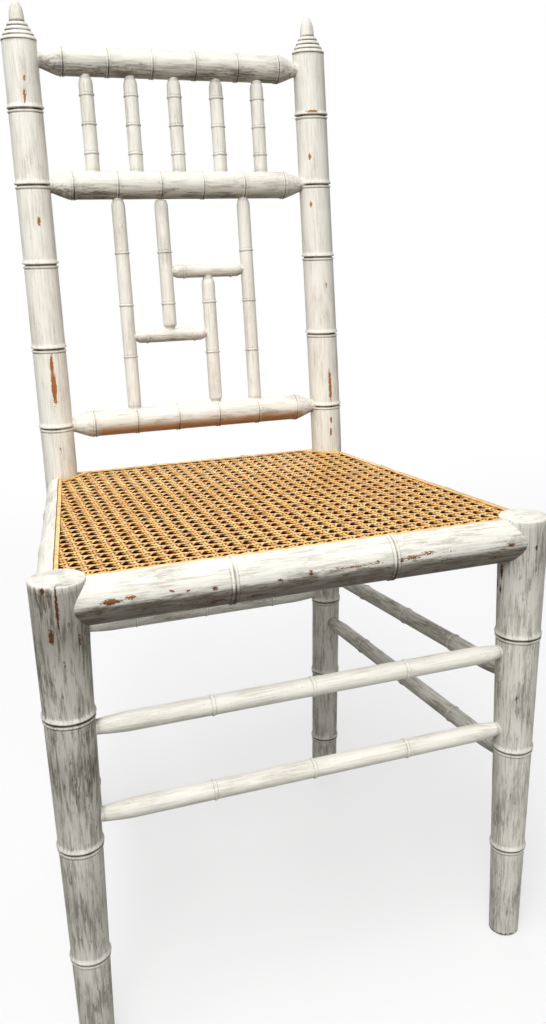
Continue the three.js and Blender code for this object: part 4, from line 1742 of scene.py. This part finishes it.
@dataclass
class CaneSeat:
    """The woven cane and the flat binder round it."""

    SEEDS = {Run.WARP: 3, Run.WEFT: 5, Run.RISING: 7, Run.FALLING: 11}
    BINDER_SEED = 13
    FAR = 1e4
    PARALLEL = 1e-9
    SHORTEST_PITCHES = 2 / 3
    SPARE_LINES = 4

    edge_out: float = 3.0
    pitch: float = 12.9
    half_pairs: Pair = (1.3, 1.7)
    strand_widths: Pair = (2.5, 3.1)
    strand_thickness: float = 2.2
    diagonal_width: float = 2.1
    pair_wave: float = 0.6
    weft_tilt: float = 0.6
    diagonal_wave: float = 0.95
    level: float = 429.6
    step: float = 1.5
    wander: float = 0.7
    binder_width: float = 4.2
    binder_thickness: float = 2.4
    binder_level: float = 431.5
    binder_step: float = 6.0
    tuck: float = 1.6

    def _outline(self, inset: float) -> Array:
        """The cane's plan outline.

        Args:
            inset: How far inside the cane's own edge.

        Returns:
            The corners: front left, front right, rear right, rear left.
        """
        out = self.edge_out - inset
        front = PLAN.leg_point(Side.RIGHT, 0.0)[:2]
        rear = PLAN.post_point(Side.RIGHT, PLAN.seat_height)[:2]
        along = (rear - front) / np.linalg.norm(rear - front)
        edge = front + np.array([along[1], -along[0]]) * out
        y_front, y_rear = front[1] - out, rear[1] + out
        x_front, x_rear = (edge[0] + along[0] / along[1] * (y - edge[1]) for y in (y_front, y_rear))
        return np.array(
            [[-x_front, y_front], [x_front, y_front], [x_rear, y_rear], [-x_rear, y_rear]]
        )

    def _uprights(self) -> list[tuple[Array, float]]:
        """The four uprights at the seat.

        Returns:
            Each one's place in plan and its radius.
        """
        legs = [(PLAN.leg_point(side, 0.0)[:2], PLAN.leg_radius) for side in Side]
        posts = [(PLAN.post_point(side, PLAN.seat_height)[:2], PLAN.post_radius) for side in Side]
        return legs + posts

    def _clipped(self, point: Array, direction: Array, outline: Array) -> Line | None:
        """The part of a line that lies on the seat, clear of the uprights.

        Args:
            point: A point of the line.
            direction: Its unit direction.
            outline: A convex outline, counter clockwise.

        Returns:
            Both ends, or None where the line misses the seat.
        """
        low, high = -self.FAR, self.FAR
        for start, end in zip(outline, np.roll(outline, -1, 0)):
            inward = np.array([start[1] - end[1], end[0] - start[0]])
            speed = inward @ direction
            gap = inward @ (start - point)
            if abs(speed) < self.PARALLEL:
                if gap > 0:
                    return None
                continue
            if speed > 0:
                low = max(low, gap / speed)
            else:
                high = min(high, gap / speed)
        middle = (low + high) / 2
        for centre, radius in self._uprights():
            nearest = (centre - point) @ direction
            miss = float(np.linalg.norm(centre - point - direction * nearest))
            if miss < radius:
                half = math.sqrt(radius**2 - miss**2)
                if nearest < middle:
                    low = max(low, nearest + half)
                else:
                    high = min(high, nearest - half)
        if high - low < self.SHORTEST_PITCHES * self.pitch:
            return None
        return point + direction * low, point + direction * high

    def _guides(self, run: Run) -> tuple[list[Line], list[float]]:
        """The straight lines that one set of strands follows.

        Args:
            run: The set's direction.

        Returns:
            Each line's ends, and which strand of its pair it is.
        """
        outline = self._outline(self.tuck)
        count = int(np.abs(outline).max() * 2 / self.pitch) + self.SPARE_LINES
        directions = {
            Run.WARP: np.array([0.0, 1.0]),
            Run.WEFT: np.array([1.0, 0.0]),
            Run.RISING: np.array([DIAGONAL, -DIAGONAL]),
            Run.FALLING: np.array([DIAGONAL, DIAGONAL]),
        }
        warp, weft = self.half_pairs
        steps = range(-2 * count, 2 * count + 1)
        pairs = [(i * self.pitch, side) for i in steps for side in (-1.0, 1.0)]
        middles = [(np.array([(i + HALF) * self.pitch, 0.0]), 0.0) for i in steps]
        offsets = {
            Run.WARP: [(np.array([at + side * warp, 0.0]), side) for at, side in pairs],
            Run.WEFT: [(np.array([0.0, at + side * weft]), side) for at, side in pairs],
            Run.RISING: middles,
            Run.FALLING: middles,
        }
        lines, sides = [], []
        for point, side in offsets[run]:
            ends = self._clipped(point, directions[run], outline)
            if ends is not None:
                lines.append(ends)
                sides.append(side)
        return lines, sides

    def _strand_mesh(
        self,
        name: str,
        tree: StrandTree,
        lines: Sequence[Line],
        sides: Sequence[float],
        lengths: Mapping[str, float],
        others: Mapping[str, Any],
    ) -> Mesh:
        """Runs a strand tree on guide lines.

        Args:
            name: The mesh's name.
            tree: The tree to run.
            lines: Both ends of each guide, in plan.
            sides: Which strand of its pair each guide is.
            lengths: The tree's lengths in millimetres. One that is left out is 0.
            others: The values of its other inputs.

        Returns:
            The strands as a plain mesh.
        """
        guide = bpy.data.meshes.new(f"{name}_guide")
        points = [(*end * MM, 0.0) for line in lines for end in line]
        guide.from_pydata(points, [(2 * i, 2 * i + 1) for i in range(len(lines))], [])
        attribute = guide.attributes.new("side", "FLOAT", "POINT")
        attribute.data.foreach_set("value", np.repeat(np.array(sides, np.float32), 2))
        holder = bpy.data.objects.new(f"{name}_guide", guide)
        bpy.context.scene.collection.objects.link(holder)
        group, names = tree.build()
        modifier = holder.modifiers.new("weave", "NODES")
        modifier.node_group = group
        sizes = {key: length * MM for key, length in lengths.items()}
        for key, given in {**sizes, **others}.items():
            modifier[names[key]] = given
        depsgraph = bpy.context.evaluated_depsgraph_get()
        mesh = bpy.data.meshes.new_from_object(holder.evaluated_get(depsgraph))
        mesh.name = name
        holder.modifiers.remove(modifier)
        bpy.data.objects.remove(holder)
        bpy.data.meshes.remove(guide)
        bpy.data.node_groups.remove(group)
        return mesh

    def build(self, cane: Material, binder: Material) -> None:
        """Makes the weave and the binder.

        Args:
            cane: The weave's finish.
            binder: The binder's finish.
        """
        warp_half, weft_half = self.half_pairs
        warp_width, weft_width = self.strand_widths
        crossed = {Run.WARP: weft_half, Run.WEFT: warp_half}
        widths = {Run.WARP: warp_width, Run.WEFT: weft_width}
        for run in Run:
            lines, sides = self._guides(run)
            lengths = {
                "Step": self.step,
                "Pitch": self.pitch,
                "Half Pair": crossed.get(run, warp_half),
                "Wave": self.pair_wave if run in crossed else self.diagonal_wave,
                "Tilt": self.weft_tilt if run is Run.WEFT else 0.0,
                "Level": self.level,
                "Width": widths.get(run, self.diagonal_width),
                "Thickness": self.strand_thickness,
                "Wander": self.wander,
            }
            others = {"Seed": self.SEEDS[run], "Material": cane}
            name = f"cane_{run.value}"
            mesh = self._strand_mesh(name, StrandTree(run), lines, sides, lengths, others)
            placed(name, mesh, cane, ["cane_panel"])
        self._build_binder(binder)

    def _build_binder(self, material: Material) -> None:
        """Makes the flat strips round the weave and across its rear corners.

        Args:
            material: Their finish.
        """
        inner = self._outline(self.binder_width / 2)
        outer = self._outline(0.0)
        strips = []
        for start, end in zip(inner, np.roll(inner, -1, 0)):
            strips.append((start, (end - start) / np.linalg.norm(end - start), outer))
        for side in Side:
            post = PLAN.post_point(side, PLAN.seat_height)[:2]
            inward = np.array([-side.value, -1.0]) * DIAGONAL
            touch = post + inward * (PLAN.post_radius + PLAN.joint_gap + self.binder_width / 2)
            run = np.array([inward[1], -inward[0]])
            strips.append((touch, run, self._outline(self.binder_width)))
        clipped = [self._clipped(*strip) for strip in strips]
        lines = [ends for ends in clipped if ends is not None]
        lengths = {
            "Step": self.binder_step,
            "Level": self.binder_level,
            "Width": self.binder_width,
            "Thickness": self.binder_thickness,
        }
        others = {"Seed": self.BINDER_SEED, "Material": material}
        sides = [0.0] * len(lines)
        mesh = self._strand_mesh("cane_binder", StrandTree(None), lines, sides, lengths, others)
        nodes = [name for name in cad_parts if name.startswith("cane_binder")]
        placed("cane_binder", mesh, material, nodes)


# Studio


@dataclass(frozen=True)
class Lamp:
    """A round soft lamp: its place and aim in metres, its size, power and the spread of its beam."""

    name: str
    place: Triple
    aim: Triple
    size: float
    power: float
    spread: float = math.pi

    def build(self) -> None:
        """Makes the lamp and turns it to its aim."""
        light = bpy.data.lights.new(self.name, "AREA")
        light.shape = "DISK"
        light.size = self.size
        light.energy = self.power
        light.spread = self.spread
        lamp = bpy.data.objects.new(self.name, light)
        lamp.location = self.place
        aim = Vector(self.aim) - Vector(self.place)
        lamp.rotation_euler = aim.to_track_quat("-Z", "Y").to_euler()
        bpy.context.scene.collection.objects.link(lamp)


@dataclass(frozen=True)
class Studio:
    """A pale floor, soft light from several lamps and the camera."""

    LAMPS = (
        Lamp("overhead", (-3.0, -1.6, 10.0), (0.0, 0.0, 0.4), 7.0, 585.0),
        Lamp("front", (-0.5, -1.05, 1.55), (0.0, 0.15, 0.55), 0.7, 4.5, math.radians(90)),
        Lamp("low", (0.3, -1.6, 0.25), (0.05, -0.2, 0.1), 0.6, 0.4, math.radians(40)),
        Lamp("rear", (0.7, 2.3, 0.9), (0.0, 0.2, 0.55), 1.2, 14.0),
    )

    eye: Triple = (-265.7, -674.2, 667.8)
    yaw: float = math.radians(19.3)
    pitch: float = math.radians(15.5)
    roll: float = math.radians(-1.4)
    focal_pixels: float = 930.5
    centre: Pair = (274.9, 504.6)
    sensor: float = 36.0
    near_clip: float = 0.01
    floor_half: float = 6.0
    floor_bounce: Colour = srgb(108, 106, 100)
    floor_white: Colour = (0.9, 0.9, 0.9, 1.0)
    floor_glow: float = 0.62
    floor_near: float = 0.9
    floor_far: float = 2.4
    sky: float = 0.23

    def build(self) -> None:
        """Makes the floor, the light and the camera."""
        scene = bpy.context.scene
        scene.view_settings.view_transform = "Standard"
        self._build_floor()
        self._build_world()
        for lamp in self.LAMPS:
            lamp.build()
        self._build_camera()
        log.info("studio")

    def _seen(self, tree: Tree) -> Value:
        """Whether a ray comes from the eye, directly or by a mirror or glass.

        Args:
            tree: The tree to add to.

        Returns:
            1 for such a ray and 0 for another.
        """
        path = tree.node("ShaderNodeLightPath").outputs
        camera = Value(tree, path["Is Camera Ray"])
        glossy = Value(tree, path["Is Glossy Ray"])
        return camera.highest(glossy).highest(Value(tree, path["Is Transmission Ray"]))

    def _build_floor(self) -> None:
        """Makes a wide pale floor that keeps the chair's shadow."""
        half = self.floor_half
        corners = [(-half, -half, 0.0), (half, -half, 0.0), (half, half, 0.0), (-half, half, 0.0)]
        mesh = bpy.data.meshes.new("floor")
        mesh.from_pydata(corners, [], [(0, 1, 2, 3)])
        material, tree = blank_material("pale_floor")
        dim = tree.first("ShaderNodeBsdfDiffuse", None, {"Color": self.floor_bounce})
        lit = tree.first("ShaderNodeBsdfDiffuse", None, {"Color": self.floor_white})
        glow = tree.first("ShaderNodeEmission", None, {"Strength": 1.0})
        place = tree.node("ShaderNodeTexCoord").outputs["Object"]
        distance = tree.node("ShaderNodeVectorMath", {"operation": "LENGTH"}, {0: place})
        far = Value(tree, distance.outputs["Value"]).step(self.floor_near, self.floor_far)
        share = far * (1 - self.floor_glow) + self.floor_glow
        pale = tree.first("ShaderNodeMixShader", None, {0: share, 1: lit, 2: glow})
        shown = tree.first("ShaderNodeMixShader", None, {0: self._seen(tree), 1: dim, 2: pale})
        tree.node("ShaderNodeOutputMaterial", None, {"Surface": shown})
        mesh.materials.append(material)
        floor = bpy.data.objects.new("floor", mesh)
        bpy.context.scene.collection.objects.link(floor)

    def _build_world(self) -> None:
        """Makes a white surround that lights the chair softly."""
        world = bpy.data.worlds.new("surround")
        world.use_nodes = True
        world.node_tree.nodes.clear()
        tree = Tree(world.node_tree)
        strength = self._seen(tree) * (1 - self.sky) + self.sky
        inputs = {"Color": WHITE, "Strength": strength}
        background = tree.first("ShaderNodeBackground", None, inputs)
        tree.node("ShaderNodeOutputWorld", None, {"Surface": background})
        bpy.context.scene.world = world

    def _build_camera(self) -> None:
        """Makes the camera where the photograph was taken."""
        ahead = Vector(
            (
                math.sin(self.yaw) * math.cos(self.pitch),
                math.cos(self.yaw) * math.cos(self.pitch),
                -math.sin(self.pitch),
            )
        )
        level = Vector((math.cos(self.yaw), -math.sin(self.yaw), 0.0))
        above = level.cross(ahead)
        right = level * math.cos(self.roll) + above * math.sin(self.roll)
        up = above * math.cos(self.roll) - level * math.sin(self.roll)
        lens = bpy.data.cameras.new("camera")
        lens.sensor_fit = "AUTO"
        lens.sensor_width = self.sensor
        lens.lens = self.focal_pixels * self.sensor / IMAGE_HEIGHT
        lens.shift_x = (IMAGE_WIDTH / 2 - self.centre[0]) / IMAGE_HEIGHT
        lens.shift_y = (self.centre[1] - IMAGE_HEIGHT / 2) / IMAGE_HEIGHT
        lens.clip_start = self.near_clip
        camera = bpy.data.objects.new("camera", lens)
        x, y, z = self.eye
        eye = Vector((x, y + PLAN.leg_line, z)) * MM
        turn = Matrix((right, up, -ahead)).transposed().to_4x4()
        camera.matrix_world = Matrix.Translation(eye) @ turn
        bpy.context.scene.collection.objects.link(camera)
        bpy.context.scene.camera = camera


def main() -> None:
    """Builds the studio and every piece of the chair."""
    Studio().build()
    paint = PaintFinish().material()
    cane = CaneFinish().material()
    # The binder uses the cane's painted shade too, in a paler brown, on its sides and low parts.
    binder = CaneFinish(
        name="pale_binder",
        gold=srgb(240, 190, 112),
        brown=srgb(214, 152, 78),
        edge=srgb(120, 72, 32),
        edges=(-0.1, 0.45),
        shaded_below=429.0,
        unshaded_above=430.6,
    ).material()
    BackPosts().build(paint)
    FrontLegs().build(paint)
    Back().build(paint)
    SeatFrame().build(paint)
    Stretchers().build(paint)
    CaneSeat().build(cane, binder)


if __name__ == "__main__":
    main()
